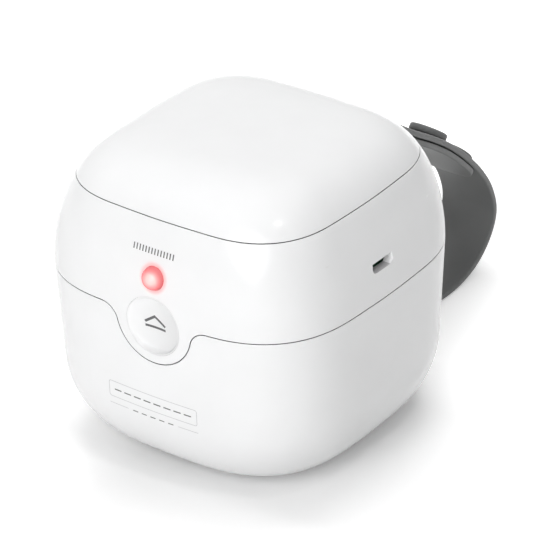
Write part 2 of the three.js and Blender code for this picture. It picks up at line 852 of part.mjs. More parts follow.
// A lever on the latch pin: a pad meets the open button, and a hook at its foot enters the catch.
function latchLever() {
  const backY = leverFrontY + leverThickness;
  const buttonBack = openFlangeY + openFlangeThickness;
  const foot = hookZ;
  const springRoomX = springEndX - fitGap;
  const arm = sidePrism(
    [
      [leverFrontY, pinZ], [backY, pinZ], [backY, foot], [leverFrontY - hookReach, foot],
      [leverFrontY - hookReach, foot + hookThickness / 2], [leverFrontY, foot + hookThickness],
    ],
    -leverHalf,
    leverHalf,
  );
  const springRoom = box(
    springRoomX,
    leverHalf + overrun,
    pinY - leverBossRadius * 2,
    pinY + leverBossRadius * 2,
    pinZ - leverBossRadius * 2,
    pinZ + leverBossRadius * 2,
  );
  const pad = bar("y", padRadius, buttonBack + fitGap, leverFrontY + leverThickness / 2, 0, openZ);
  return cut(
    join(arm, bar("x", leverBossRadius, -leverHalf, leverHalf, pinY, pinZ), pad),
    springRoom,
    bar("x", pinRadius + fitGap, -leverHalf - overrun, leverHalf + overrun, pinY, pinZ),
  );
}

// A torsion spring on the latch pin: one leg rests on the lamp plate and the other behind the lever.
const springStartX = earInnerX - fitGap - springWire;
const springEndX = springStartX - springPitch * springTurns - springWire * 2;
const turnSteps = 8;
function springCoil() {
  return Array.from({ length: springTurns * turnSteps + 1 }, (_, i) => {
    const angle = (i / turnSteps) * 2 * Math.PI;
    return [
      springStartX - (springPitch * i) / turnSteps,
      pinY + springRadius * Math.cos(angle),
      pinZ + springRadius * Math.sin(angle),
    ];
  });
}
function latchSpring() {
  const backOfLever = leverFrontY + leverThickness + fitGap + springWire;
  const points = [
    [springStartX, pinY + springRadius, plateTop + fitGap + springWire],
    ...springCoil(),
    [springEndX, backOfLever, pinZ - springLeg],
  ];
  return tube(points, springWire, (springTurns + 1) * turnSteps, 3);
}

// The least gap between the coil's turns, measured on its points half a turn and more apart
function coilGap(points) {
  let least = Infinity;
  points.forEach((a, i) =>
    points.slice(i + turnSteps / 2 + 1).forEach((b) => {
      least = Math.min(least, Math.hypot(a[0] - b[0], a[1] - b[1], a[2] - b[2]));
    }),
  );
  return least - 2 * springWire;
}
console.log("latch spring: least gap between turns " + coilGap(springCoil()).toFixed(2) + " mm");

const latchCover = () =>
  cut(
    box(
      -latchCoverHalf,
      latchCoverHalf,
      latchCoverY,
      latchCoverY + latchCoverThickness,
      latchCoverBottomZ,
      plateZ - fitGap,
    ),
    box(
      -leverHalf - fitGap,
      leverHalf + fitGap,
      latchCoverY - overrun,
      latchCoverY + overrun,
      latchCoverBottomZ - overrun,
      latchCoverBottomZ + latchCoverThickness,
    ),
  );

const catchPlate = () =>
  cut(
    box(
      -catchHalf,
      catchHalf,
      -insideY + fitGap * 3,
      -insideY + fitGap * 3 + catchThickness,
      catchBottomZ,
      hookZ + hookThickness + fitGap + catchLedge,
    ),
    box(
      -leverHalf - fitGap * 2,
      leverHalf + fitGap * 2,
      -bodyHalf,
      -insideY + overrun,
      hookZ - fitGap,
      hookZ + hookThickness + fitGap,
    ),
  );

// A screw with a cross recess, head down when turned over
function screw({ shank, head, headHeight, length }) {
  const slot = shank / 4;
  const cross = [0, 90].map((turn) =>
    box(-shank, shank, -slot, slot, -overrun, headHeight / 2).rotate([0, 0, turn]),
  );
  const body = join(
    bar("z", head, 0, headHeight, 0, 0, 12),
    bar("z", shank, headHeight / 2, headHeight + length, 0, 0, 8),
  );
  return cut(body, ...cross);
}

// Chamber cup: a deep tray with a flange that closes the space between it and the casing
function cupHalf(z, inset = 0) {
  const top = chamberHalf + chamberWall - inset;
  const flat = (chamberHalf + chamberWall) * chamberBottomShare - inset;
  const draft = top * chamberDraftShare;
  const share = Math.min(Math.max((z - chamberUnderZ - inset) / (chamberRound - inset), 0), 1);
  const rise = (top - flat - draft) * Math.sqrt(1 - (1 - share) ** 2);
  return flat + rise + (draft * (z - chamberUnderZ)) / (flangeTopZ - chamberUnderZ);
}
function chamberCup() {
  const rings = (inset, top) =>
    [
      ...roundLevels(chamberUnderZ + inset, chamberUnderZ + chamberRound, 5),
      top,
    ].map((z) => ({ z, half: cupHalf(Math.min(z, flangeTopZ), inset), corner: partingCornerShare }));
  const flangeHalf = insideY - fitGap;
  const flange = loft(
    [flangeTopZ - flangeThickness, flangeTopZ].map((z) => ({ z, half: flangeHalf, corner: partingCornerShare })),
    0,
    insideSteps,
  );
  const front = chamberBack - chamberHalf - chamberWall;
  const bay = box(
    -latchBayHalf,
    latchBayHalf,
    -bodyHalf,
    front,
    flangeTopZ - flangeThickness - overrun,
    flangeTopZ + overrun,
  );
  const posts = corners.map(([x, y]) =>
    bar(
      "z",
      footScrew.head + wall / 4,
      postFootZ,
      chamberUnderZ + chamberWall / 2,
      x * footScrewPlace,
      chamberBack + y * footScrewPlace,
    ),
  );
  const holes = corners.map(([x, y]) =>
    bar(
      "z",
      footScrew.shank + fitGap,
      postFootZ - overrun,
      chamberUnderZ,
      x * footScrewPlace,
      chamberBack + y * footScrewPlace,
    ),
  );
  const outer = join(loft(rings(0, flangeTopZ), chamberBack, insideSteps), cut(flange, bay), ...posts);
  const hollow = loft(rings(chamberWall, flangeTopZ + overrun), chamberBack, 9);
  return cut(outer, hollow, ...holes);
}

// Base shell
const padRecessZ = padThickness + fitGap;
const footScrewZ = padRecessZ + fitGap / 2;
const counterboreTop = footScrewZ + counterbore;
const postFootZ = counterboreTop + footScrewRise / 4;
function baseShell() {
  let shell = cut(lowerOuter(), lowerInner(), overSeam(seamGap / 2));
  for (const [x, y] of corners) {
    const place = [x * footScrewPlace, chamberBack + y * footScrewPlace];
    const socket = bar("z", footScrew.head + wall, padRecessZ, postFootZ - fitGap, ...place);
    shell = join(shell, socket);
  }
  const holes = corners.flatMap(([x, y]) => {
    const place = [x * footScrewPlace, chamberBack + y * footScrewPlace];
    return [
      bar("z", footScrew.shank + fitGap, -overrun, chamberUnderZ, ...place),
      bar("z", footScrew.head + fitGap, -overrun, counterboreTop, ...place),
    ];
  });
  const recess = loft(
    [-overrun, padRecessZ].map((z) => ({ z, half: padHalf + fitGap, corner: bottomCornerShare })),
  );
  const strapSlot = box(
    -strapWidth / 2 - strapSlotClear,
    strapWidth / 2 + strapSlotClear,
    insideY - overrun,
    bodyHalf + overrun,
    lowerSlotZ - strapThickness / 2 - strapSlotClear * 2,
    lowerSlotZ + strapThickness / 2 + strapSlotClear,
  );
  const hingeRoom = knuckle(-baseKnuckleFrom, baseKnuckleFrom, knuckleRadius + knuckleClear);
  const ends = [[baseKnuckleFrom, hingeHalf], [-hingeHalf, -baseKnuckleFrom]];
  const knuckles = ends.flatMap(([from, to]) => [
    knuckle(from, to, knuckleRadius),
    box(from, to, insideY + fitGap, hingeY, partingZ - hingeWebHeight, partingZ - seamGap),
  ]);
  return cut(join(cut(shell, recess, strapSlot, hingeRoom), ...knuckles), ...holes, pinHole);
}

const footPad = () =>
  loft([0, padThickness].map((z) => ({ z, half: padHalf, corner: bottomCornerShare })));

// Strap: the outer layer runs from the lid round to the base, and the inner layer carries the two studs.
const strapSteps = 56;
const anchorY = lowerHalf(lowerSlotZ) - wall * 2 - anchorThickness - fitGap * 2;
function strapBand() {
  const band = sidePrism(strapLayer(0, 1, 0, strapSteps), -strapWidth / 2, strapWidth / 2);
  const anchor = box(
    -anchorHalf,
    anchorHalf,
    anchorY,
    anchorY + anchorThickness,
    lowerSlotZ - strapThickness / 2,
    lowerSlotZ - strapThickness / 2 + anchorHeight,
  );
  const holes = studPlaceShares.map((share) => studBar(share, studStemRadius + fitGap, -overrun, overrun));
  return cut(join(band, anchor), ...holes);
}

// A round bar square to the strap, from one depth to another
function studBar(share, radius, from, to) {
  const [y, z] = strapPoint(share, 0);
  const [y1, z1] = strapPoint(share, 1);
  const shape = new THREE.CylinderGeometry(radius, radius, to - from, roundSteps);
  shape.translate(0, -(from + to) / 2, 0).rotateX(Math.atan2(z - z1, y - y1));
  return solid(shape.translate(0, y, z));
}

function strapTongue() {
  const steps = 22;
  const upperY = halfAt(upperSlotZ, wall) - wall;
  const exitY = halfAt(upperSlotZ) + fitGap;
  const shares = levels(tongueStartShare, tongueEndShare, steps);
  const outer = shares.map((share) => strapPoint(share, tongueDepth));
  const inner = shares.map((share) => strapPoint(share, tongueDepth + strapThickness));
  const root = upperSlotZ + strapThickness / 2;
  const outline = [
    [upperY, root], [exitY, root], ...outer,
    ...inner.reverse(), [exitY, root - strapThickness], [upperY, root - strapThickness],
  ];
  const layer = sidePrism(outline, -strapWidth / 2, strapWidth / 2);
  const anchor = box(
    -anchorHalf,
    anchorHalf,
    upperY - anchorThickness,
    upperY,
    upperSlotZ - anchorHeight / 2,
    upperSlotZ + strapThickness / 2,
  );
  const studs = studPlaceShares.flatMap((share) => [
    studBar(share, studStemRadius, -studHeadHeight, tongueDepth + strapThickness / 2),
    studBar(share, studHeadRadius, -fitGap - studHeadHeight, -fitGap),
  ]);
  return join(layer, anchor, ...studs);
}

const look = (color, roughness, metalness = 0, extra = {}) =>
  new THREE.MeshStandardMaterial({ color, roughness, metalness, ...extra });
const whiteGloss = look(0xf4f4f5, 0.22);
const innerWhite = look(0xe6e7e8, 0.4);
const greySilicone = look(0x6f7474, 0.62);
const paleSilicone = look(0xd9dcdd, 0.6);
const mirrorChrome = look(0xcfd3d6, 0.08, 1);
const steel = look(0xb4b6b8, 0.3, 1);
const boardGreen = look(0x1f5a3a, 0.55);
const boardWhite = look(0xe9ebea, 0.5);
const cellSilver = look(0xa9adb0, 0.4, 0.6);
const blackPlastic = look(0x1b1c1e, 0.45);
const redGlow = look(0xff6b78, 0.3, 0, { emissive: 0xff4a5a, emissiveIntensity: 0.6 });
const quartz = look(0xdfe9f2, 0.05, 0, { transparent: true, opacity: 0.4 });
const sheathRed = look(0xa8322c, 0.5);

const box3d = new THREE.Group();
const lidGroup = new THREE.Group();
const baseGroup = new THREE.Group();
box3d.add(baseGroup, lidGroup);

// Adds a solid to a group as a named mesh.
function add(group, name, body, material) {
  const { numProp, vertProperties, triVerts } = body.getMesh();
  const positions = new Float32Array((vertProperties.length / numProp) * 3);
  for (let i = 0; i < positions.length / 3; i++) {
    positions.set(vertProperties.subarray(i * numProp, i * numProp + 3), i * 3);
  }
  const geometry = new THREE.BufferGeometry();
  geometry.setAttribute("position", new THREE.BufferAttribute(positions, 3));
  geometry.setIndex(new THREE.BufferAttribute(new Uint32Array(triVerts), 1));
  geometry.computeVertexNormals();
  const mesh = new THREE.Mesh(geometry, material);
  mesh.name = name;
  group.add(mesh);
  return mesh;
}

add(baseGroup, "base_shell", baseShell(), whiteGloss);
add(baseGroup, "chamber_cup", chamberCup(), mirrorChrome);
add(baseGroup, "latch_catch", catchPlate(), steel);
add(baseGroup, "foot_pad", footPad(), paleSilicone);
add(
  baseGroup,
  "sensor_magnet",
  bar(
    "z",
    magnetRadius,
    flangeTopZ - flangeThickness - fitGap - magnetHeight,
    flangeTopZ - flangeThickness - fitGap,
    (chamberHalf + chamberWall + insideY) / 2,
    0,
  ),
  steel,
);
add(
  baseGroup,
  "hinge_pin",
  knuckle(-hingeHalf + fitGap, hingeHalf - fitGap, hingePinRadius),
  steel,
);
add(baseGroup, "strap_band", strapBand(), greySilicone);
add(baseGroup, "strap_tongue", strapTongue(), greySilicone);
corners.forEach(([x, y], i) => {
  const mesh = add(baseGroup, "base_screw_" + (i + 1), screw(footScrew), steel);
  mesh.position.set(x * footScrewPlace, chamberBack + y * footScrewPlace, footScrewZ);
});

add(lidGroup, "top_cover", topCover(), whiteGloss);
add(lidGroup, "lid_shell", lidShell(), whiteGloss);
add(lidGroup, "lamp_plate", lampPlate(), innerWhite);
add(lidGroup, "lid_gasket", gasketRing(gasketWidth, gasketZ, gasketZ + gasketHeight), paleSilicone);
add(lidGroup, "quartz_window", disc(windowRadius, windowZ, windowThickness), quartz);
add(
  lidGroup,
  "lamp_spacer",
  cut(
    disc(windowRadius, spacerZ, spacerHeight),
    disc(apertureRadius, spacerZ - overrun, spacerHeight + overrun * 2),
  ),
  blackPlastic,
);
add(lidGroup, "uvc_lamp_board", disc(windowRadius, lampBoardZ, lampBoardThickness), boardWhite);
corners.forEach(([x, y], i) => {
  const half = ledSize / 2;
  const chip = box(-half, half, -half, half, -ledHeight, 0);
  const mesh = add(lidGroup, "uvc_led_" + (i + 1), chip, steel);
  mesh.position.set(x * ledSpread, chamberBack + y * ledSpread, lampBoardZ - fitGap);
});
add(lidGroup, "main_board", mainBoard(), boardGreen);
add(lidGroup, "usb_port", usbPort(), steel);
add(
  lidGroup,
  "lid_sensor",
  box(
    mainBoardOuterX - sensorSize * 3 / 2,
    mainBoardOuterX - sensorSize / 2,
    -sensorSize / 2,
    sensorSize / 2,
    mainBoardZ - fitGap - sensorHeight,
    mainBoardZ - fitGap,
  ),
  blackPlastic,
);
add(lidGroup, "battery_tray", batteryTray(), innerWhite);
add(lidGroup, "battery", battery(), cellSilver);
add(lidGroup, "button_board", buttonBoard(), boardGreen);
add(lidGroup, "tact_switch", tactSwitch(), blackPlastic);
add(lidGroup, "status_led", statusLed(), redGlow);
add(lidGroup, "latch_cover", latchCover(), innerWhite);
add(
  lidGroup,
  "latch_pin",
  bar("x", pinRadius, -earInnerX - earThickness, earInnerX + earThickness, pinY, pinZ),
  steel,
);
add(lidGroup, "latch_spring", latchSpring(), steel);
add(lidGroup, "latch_lever", latchLever(), blackPlastic);
add(lidGroup, "power_button", powerButton(), redGlow);
add(lidGroup, "open_button", openButton(), whiteGloss);
corners.forEach(([x, y], i) => {
  const mesh = add(lidGroup, "lid_screw_" + (i + 1), screw(lidScrew), steel);
  mesh.position.set(x * bossX, y * bossY, plateZ - fitGap);
});
[postPlace, -postPlace].forEach((y, i) => {
  const mesh = add(lidGroup, "board_screw_" + (i + 1), screw(boardScrew), steel);
  mesh.rotation.x = Math.PI;
  mesh.position.set(mainBoardX, y, mainBoardZ + boardThickness + fitGap + boardScrew.headHeight);
});

// Sleeved leads inside the lid
const leadRise = leadRadius + fitGap;
const boardTop = mainBoardZ + boardThickness;
const lampTop = lampBoardZ + lampBoardThickness;
add(
  lidGroup,
  "lamp_lead",
  tube(
    [
      [windowRadius / 2, chamberBack, lampTop + leadRise],
      [windowRadius, chamberBack, lampTop + leadRise * 1.2],
      [(windowRadius + mainBoardInnerX) / 2, chamberBack, lampTop + leadRise * 1.2],
      [mainBoardInnerX + leadRadius * 3, chamberBack, boardTop + leadRise],
    ],
    leadRadius,
    leadSteps,
    leadSides,
  ),
  sheathRed,
);
const batteryLeadY = -mainBoardLength / 4;
const batteryTop = batteryZ + batteryHeight;
const leadFootX = mainBoardInnerX + leadRadius * 3;
add(
  lidGroup,
  "battery_lead",
  tube(
    [
      [batteryHalf + fitGap, batteryLeadY, batteryTop - leadRise * 2],
      [batteryHalf + trayThickness, batteryLeadY, batteryTop - leadRise * 2],
      [mainBoardInnerX, batteryLeadY, (batteryTop + boardTop) / 2],
      [leadFootX, batteryLeadY, boardTop + fitGap],
    ],
    leadRadius,
    leadSteps,
    leadSides,
  ),
  sheathRed,
);
const buttonBoardBack = buttonBoardY + boardThickness;
add(
  lidGroup,
  "button_lead",
  tube(
    [
      [buttonBoardHalf / 2, buttonBoardBack + fitGap, powerZ],
      [buttonBoardHalf / 2, buttonBoardBack + leadRise * 2, powerZ],
      [mainBoardInnerX / 2, (buttonBoardBack - mainBoardLength / 2) / 2, boardTop + leadRise * 2],
      [mainBoardInnerX, -mainBoardLength / 2 - leadRise * 2, boardTop + leadRise * 1.4],
      [leadFootX, -mainBoardLength / 2 + leadRadius * 2, boardTop + leadRise],
    ],
    leadRadius,
    leadSteps,
    leadSides,
  ),
  sheathRed,
);

export default box3d;
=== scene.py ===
import bmesh
import bpy
import numpy as np
from mathutils import Matrix, Vector
from mathutils.bvhtree import BVHTree


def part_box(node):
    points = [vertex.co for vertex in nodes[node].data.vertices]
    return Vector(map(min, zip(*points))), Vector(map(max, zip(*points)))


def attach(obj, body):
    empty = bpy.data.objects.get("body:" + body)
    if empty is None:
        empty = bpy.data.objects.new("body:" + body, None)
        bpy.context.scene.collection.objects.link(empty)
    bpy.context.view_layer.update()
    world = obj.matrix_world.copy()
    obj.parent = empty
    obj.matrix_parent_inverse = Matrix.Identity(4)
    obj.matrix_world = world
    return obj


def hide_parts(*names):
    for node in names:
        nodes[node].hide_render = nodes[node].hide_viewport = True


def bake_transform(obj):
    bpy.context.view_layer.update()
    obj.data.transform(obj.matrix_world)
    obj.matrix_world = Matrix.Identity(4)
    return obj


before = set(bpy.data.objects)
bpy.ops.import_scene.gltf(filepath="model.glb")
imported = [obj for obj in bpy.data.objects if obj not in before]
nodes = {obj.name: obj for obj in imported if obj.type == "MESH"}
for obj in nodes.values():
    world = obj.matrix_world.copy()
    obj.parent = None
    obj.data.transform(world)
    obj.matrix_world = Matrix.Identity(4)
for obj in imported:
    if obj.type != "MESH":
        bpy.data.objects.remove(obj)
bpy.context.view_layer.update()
quarterTurn = np.pi / 2
mm = 0.001
white = (1, 1, 1, 1)
pole = 0.02  # radius of the smallest ring, which closes to a point
print("frame loaded:", len(nodes), "nodes")


def unit(vectors):
    return vectors / np.linalg.norm(vectors, axis=-1, keepdims=True)


def linkObject(name, data):
    holder = bpy.data.objects.new(name, data)
    bpy.context.scene.collection.objects.link(holder)
    return holder


def meshFrom(name, verts, faces, edges=()):
    mesh = bpy.data.meshes.new(name)
    mesh.from_pydata(verts, edges, faces)
    return mesh


def directionOf(azimuth, elevation):
    turn, rise = np.radians(azimuth), np.radians(elevation)
    return np.array([np.sin(turn) * np.cos(rise), -np.cos(turn) * np.cos(rise), np.sin(rise)])


# Camera, at the angle the photograph was taken from
view = {
    "azimuth": 37.009, "elevation": 31.415, "distance": 911.4, "roll": 0.0263, "focal": 4034.8,
    "frame": 540.0, "aside": 14.9, "above": 141.1, "sensor": 36.0, "clip": (0.05, 20.0),
}


def placeCamera():
    back, right = directionOf(view["azimuth"], view["elevation"]), directionOf(view["azimuth"] + 90, 0)
    up, roll = np.cross(back, right), view["roll"]
    across = right * np.cos(roll) - up * np.sin(roll)
    upward = right * np.sin(roll) + up * np.cos(roll)
    ahead = unit((across * view["aside"] + upward * view["above"]) / view["focal"] - back)
    across = unit(across - ahead * across.dot(ahead))
    lens = bpy.data.cameras.new("camera")
    lens.sensor_width = view["sensor"]
    lens.lens = view["focal"] / view["frame"] * view["sensor"]
    lens.clip_start, lens.clip_end = view["clip"]
    camera = linkObject("camera", lens)
    place = np.eye(4)
    place[:3] = np.stack([across, np.cross(across, ahead), -ahead, back * view["distance"] * mm], axis=1)
    camera.matrix_world = Matrix(place.tolist())
    bpy.context.scene.camera = camera


placeCamera()
bpy.context.scene.view_settings.view_transform = "Standard"


# Shader helpers. A node given as a value stands for its first output.
def addNode(tree, kind, sockets=None, **settings):
    node = tree.nodes.new(kind)
    for key, value in settings.items():
        setattr(node, key, value)
    for key, value in (sockets or {}).items():
        if isinstance(value, bpy.types.Node):
            value = value.outputs[0]
        if isinstance(value, bpy.types.NodeSocket):
            tree.links.new(value, node.inputs[key])
        else:
            node.inputs[key].default_value = value
    return node


def maths(tree, operation, *values):
    return addNode(tree, "ShaderNodeMath", dict(enumerate(values)), operation=operation)


def measured(tree, operation, *vectors):
    node = addNode(tree, "ShaderNodeVectorMath", dict(enumerate(vectors)), operation=operation)
    return node.outputs["Value"]


def mapped(tree, value, *limits, **settings):
    return addNode(tree, "ShaderNodeMapRange", {"Value": value, **dict(enumerate(limits, 1))}, **settings)


def separated(tree, vector):
    return addNode(tree, "ShaderNodeSeparateXYZ", {0: vector}).outputs


def objectPlace(tree):
    return addNode(tree, "ShaderNodeTexCoord").outputs["Object"]


def noise(tree, place, scale, detail=2.0):
    return addNode(tree, "ShaderNodeTexNoise", {"Vector": place, "Scale": scale, "Detail": detail})


def mixed(tree, share, first, second):
    node = addNode(tree, "ShaderNodeMix", {"Factor": share, "A": first, "B": second}, data_type="RGBA")
    return node.outputs["Result"]


def seenDirectly(tree):
    path = addNode(tree, "ShaderNodeLightPath").outputs
    shown = maths(tree, "MAXIMUM", path["Is Camera Ray"], path["Is Glossy Ray"])
    return maths(tree, "MAXIMUM", shown, path["Is Transmission Ray"])


def makeFinish(name, shade, *values):
    material = bpy.data.materials.new(name)
    material.use_nodes = True
    tree = material.node_tree
    tree.nodes.clear()
    addNode(tree, "ShaderNodeOutputMaterial", {"Surface": shade(tree, *values)})
    return material


# Studio: pale floor, pale room, soft lights. A part of the floor is lifted between two distances in metres
# by a share, for the camera alone: painted light, which pales the lamps' shadows near the casing and round
# its sides, and whitens the far floor. The room is dimmer behind on the right, as behind a dark screen.
studio = {
    "floorSize": 12.0, "floorColor": 0.84, "floorGrain": 6.0, "floorRough": (0.85, 0.95),
    "nearFloor": (0.026, 0.054, 0.16), "farFloor": (0.054, 0.3, 0.42), "rightFloor": (0.0, 0.045, 0.17),
    "frontFloor": (0.029, 0.037, 0.14), "leftFloor": (0.01, 0.028, 0.18), "backFloor": (0.024, 0.042, 0.23),
    "roomLight": 0.21, "darkSide": (0.8, 0.6, 0.0), "darkShare": 0.13, "aimZ": 0.036,
}
lights = {
    "key": {"way": (16, 29), "distance": 1.1, "size": 0.9, "power": 8.4, "mirrored": True},
    "above": {"way": (-150, 66), "distance": 1.2, "size": 0.9, "power": 8.1, "mirrored": False},
    "glint": {"way": (74, 64), "distance": 0.9, "size": 0.07, "power": 0.5, "mirrored": True},
}


def makeRoom():
    world = bpy.data.worlds.new("room")
    bpy.context.scene.world = world
    world.use_nodes = True
    tree = world.node_tree
    tree.nodes.clear()
    way = addNode(tree, "ShaderNodeTexCoord").outputs["Generated"]
    toward = maths(tree, "MAXIMUM", measured(tree, "DOT_PRODUCT", way, studio["darkSide"]), 0.0)
    level = maths(tree, "MULTIPLY_ADD", toward, -studio["darkShare"], studio["roomLight"])
    strength = maths(tree, "MULTIPLY_ADD", seenDirectly(tree), maths(tree, "SUBTRACT", 1.0, level), level)
    background = addNode(tree, "ShaderNodeBackground", {"Color": white, "Strength": strength})
    addNode(tree, "ShaderNodeOutputWorld", {"Surface": background})


def floorShader(tree):
    tone = studio["floorColor"]
    grain = addNode(tree, "ShaderNodeTexNoise", {"Scale": studio["floorGrain"], "Detail": 2.0})
    surface = addNode(tree, "ShaderNodeBsdfPrincipled", {
        "Base Color": (tone, tone, tone, 1), "Roughness": mapped(tree, grain, 0, 1, *studio["floorRough"]),
        "Specular IOR Level": 0.0})
    place = objectPlace(tree)
    away = measured(tree, "LENGTH", place)
    x, y, z = separated(tree, place)
    left, front = (maths(tree, "MULTIPLY", value, -1.0) for value in (x, y))
    areas = {"nearFloor": away, "farFloor": away, "rightFloor": x, "frontFloor": front, "leftFloor": left,
             "backFloor": y}
    lift = 0.0
    for area, value in areas.items():
        start, end, share = studio[area]
        lift = maths(tree, "ADD", mapped(tree, value, start, end, 0.0, share), lift)
    lift = maths(tree, "MULTIPLY", seenDirectly(tree), lift)
    lamp = addNode(tree, "ShaderNodeEmission", {"Color": white, "Strength": lift})
    return addNode(tree, "ShaderNodeAddShader", {0: surface, 1: lamp})


def makeFloor():
    half = studio["floorSize"] / 2
    mesh = meshFrom("floor", [(-half, -half, 0), (half, -half, 0), (half, half, 0), (-half, half, 0)],
                    [(0, 1, 2, 3)])
    mesh.materials.append(makeFinish("paleFloor", floorShader))
    floor = linkObject("floor", mesh)


def addLights():
    for name, light in lights.items():
        back = Vector(directionOf(*light["way"]))
        lamp = bpy.data.lights.new(name, "AREA")
        lamp.shape, lamp.size, lamp.energy = "DISK", light["size"], light["power"]
        holder = linkObject(name, lamp)
        holder.location = back * light["distance"] + Vector((0, 0, studio["aimZ"]))
        holder.rotation_euler = back.to_track_quat("Z", "Y").to_euler()
        holder.visible_glossy = light["mirrored"]


makeRoom()
makeFloor()
addLights()
print("camera, floor and lights placed")

# Finishes: spread is how far the colour wanders, grain the width of one fleck in millimetres and depth its
# height in micrometres. What a finish doesn't say, it has from the first dictionary.
commonFinish = {
    "spread": 0.02, "rough": (0.4, 0.5), "grain": 0.3, "depth": 6, "metal": 0, "coat": 0, "coatRough": 0.12,
    "sheen": 0, "gloss": 0.5, "patches": 90.0, "patchShare": 0.6, "fleckRange": (0.35, 0.65),
    "trackScale": 420.0, "trackWidth": 0.03, "trackShift": 0.37, "trackSquash": 1.6,
}
finishes = {
    "glossWhite": {"color": (0.875, 0.878, 0.882), "spread": 0.008, "rough": (0.2, 0.26), "coat": 0.2,
                   "gloss": 0.36, "grain": 0.9, "depth": 1.2},
    "innerWhite": {"color": (0.78, 0.785, 0.79), "spread": 0.015, "rough": (0.36, 0.46)},
    "greySilicone": {"color": (0.17, 0.173, 0.172), "spread": 0.012, "rough": (0.5, 0.6), "grain": 0.25,
                     "depth": 8, "sheen": 0.05},
    "paleSilicone": {"color": (0.62, 0.63, 0.635), "rough": (0.5, 0.62), "grain": 0.25, "depth": 8,
                     "sheen": 0.1},
    "polishedLiner": {"color": (0.83, 0.84, 0.85), "rough": (0.06, 0.14), "metal": 1, "grain": 1.2,
                      "depth": 4},
    "brushedSteel": {"color": (0.56, 0.565, 0.57), "spread": 0.05, "rough": (0.24, 0.4), "metal": 1,
                     "grain": 0.12, "depth": 4, "stretch": (0.04, 1, 1)},
    "blackPlastic": {"color": (0.014, 0.014, 0.016), "spread": 0.004, "rough": (0.36, 0.5), "grain": 0.25,
                     "depth": 8},
    "greenBoard": {"color": (0.012, 0.085, 0.035), "spread": 0.012, "rough": (0.28, 0.4), "grain": 0.4,
                   "depth": 4, "tracks": (0.03, 0.16, 0.07)},
    "lampBoard": {"color": (0.8, 0.81, 0.8), "rough": (0.35, 0.5), "grain": 0.4, "depth": 4,
                  "tracks": (0.7, 0.7, 0.66)},
    "cellPouch": {"color": (0.5, 0.51, 0.53), "spread": 0.05, "rough": (0.26, 0.42), "metal": 0.85,
                  "grain": 3.2, "depth": 120},
    "leadSheath": {"color": (0.36, 0.03, 0.025), "spread": 0.03, "rough": (0.42, 0.52), "grain": 0.4},
    "emitterGold": {"color": (0.75, 0.6, 0.3), "spread": 0.04, "rough": (0.2, 0.34), "metal": 1},
    # painted shade: a dark grey on the seam rims, standing in for the shade in the gaps between the casing's
    # parts
    "seamShade": {"color": (0.1, 0.1, 0.103), "spread": 0.01, "rough": (0.5, 0.6), "depth": 3},
    # painted shade: a mid grey for the connector opening's lower wall, standing in for the shade in the
    # recess
    "openingShade": {"color": (0.5, 0.5, 0.505), "depth": 3},
    "greyInk": {"color": (0.1, 0.1, 0.104), "grain": 0.1, "depth": 1},
    "paleInk": {"color": (0.5, 0.5, 0.51), "grain": 0.1, "depth": 1},
}


def toneRamp(tree, value, stops):
    ramp = addNode(tree, "ShaderNodeValToRGB", {"Fac": value})
    points = ramp.color_ramp.elements
    while len(points) < len(stops):
        points.new(0.5)
    for point, (place, color) in zip(points, stops):
        point.position = place
        point.color = (*color, 1)
    return ramp


def surfaceShader(tree, name):
    look = {**commonFinish, **finishes[name]}
    place = objectPlace(tree)
    if "stretch" in look:
        place = addNode(tree, "ShaderNodeMapping", {"Vector": place, "Scale": look["stretch"]})
    fine, broad = noise(tree, place, 1 / (look["grain"] * mm), 3.0), noise(tree, place, look["patches"], 4.0)
    low, high = (np.clip(np.add(look["color"], look["spread"] * way), 0, 1).tolist() for way in (-1, 1))
    if "tracks" in look:
        tone = addNode(tree, "ShaderNodeTexBrick", {
            "Vector": place, "Scale": look["trackScale"], "Mortar Size": look["trackWidth"],
            "Color1": (*low, 1), "Color2": (*high, 1), "Mortar": (*look["tracks"], 1)},
            offset=look["trackShift"], squash=look["trackSquash"])
    else:
        tone = toneRamp(tree, broad, [(0.3, low), (0.7, high)])
    patches = maths(tree, "MULTIPLY", broad, look["patchShare"])
    flecks = maths(tree, "MULTIPLY_ADD", fine, 1 - look["patchShare"], patches)
    bump = addNode(tree, "ShaderNodeBump", {"Height": fine, "Distance": look["depth"] * 1e-6})
    return addNode(tree, "ShaderNodeBsdfPrincipled", {
        "Base Color": tone, "Roughness": mapped(tree, flecks, *look["fleckRange"], *look["rough"]),
        "Normal": bump, "Metallic": look["metal"], "Coat Weight": look["coat"],
        "Coat Roughness": look["coatRough"],
        "Sheen Weight": look["sheen"], "Specular IOR Level": look["gloss"]})


# The lit button, and how its light falls: the glow's middle stands aside of the dome's axis, the dome's foot
# is painted dark as shade where it meets its hole, and a painted halo of its red light tints the white
# plastic's colour round it. Then the open button's white, which falls off a little to the right: painted
# shade, with the left painted a little lighter.
power = {
    "x": 1.3, "z": 52.0, "radius": 2.67, "stand": 2.36, "hole": 2.73, "sides": 96, "flange": 3.4,
    "flangeY": -34.9, "flangeThickness": 0.7, "plunger": 1.2, "rimRoll": 0.35,
}
glow = {
    "stops": [(0.0, (0.75, 0.48, 0.47)), (0.35, (0.75, 0.42, 0.4)), (0.62, (0.74, 0.25, 0.25)),
              (0.85, (0.72, 0.15, 0.155)), (1.0, (0.45, 0.075, 0.08))],
    "strength": 0.62, "aside": 0.85, "reach": 2.85, "edge": (1.9, 2.64, 0.8),
    "edgePaintedShade": (0.5, 0.1, 0.11, 1), "halo": (0.98, 0.6, 0.6, 1), "haloReach": 1.7, "haloFall": 2.2,
    "haloFrontY": -0.034, "fleckScale": 2500.0, "depth": 3, "rough": (0.1, 0.2), "coat": 0.3,
    "coatRough": 0.05, "gloss": 0.25,
}
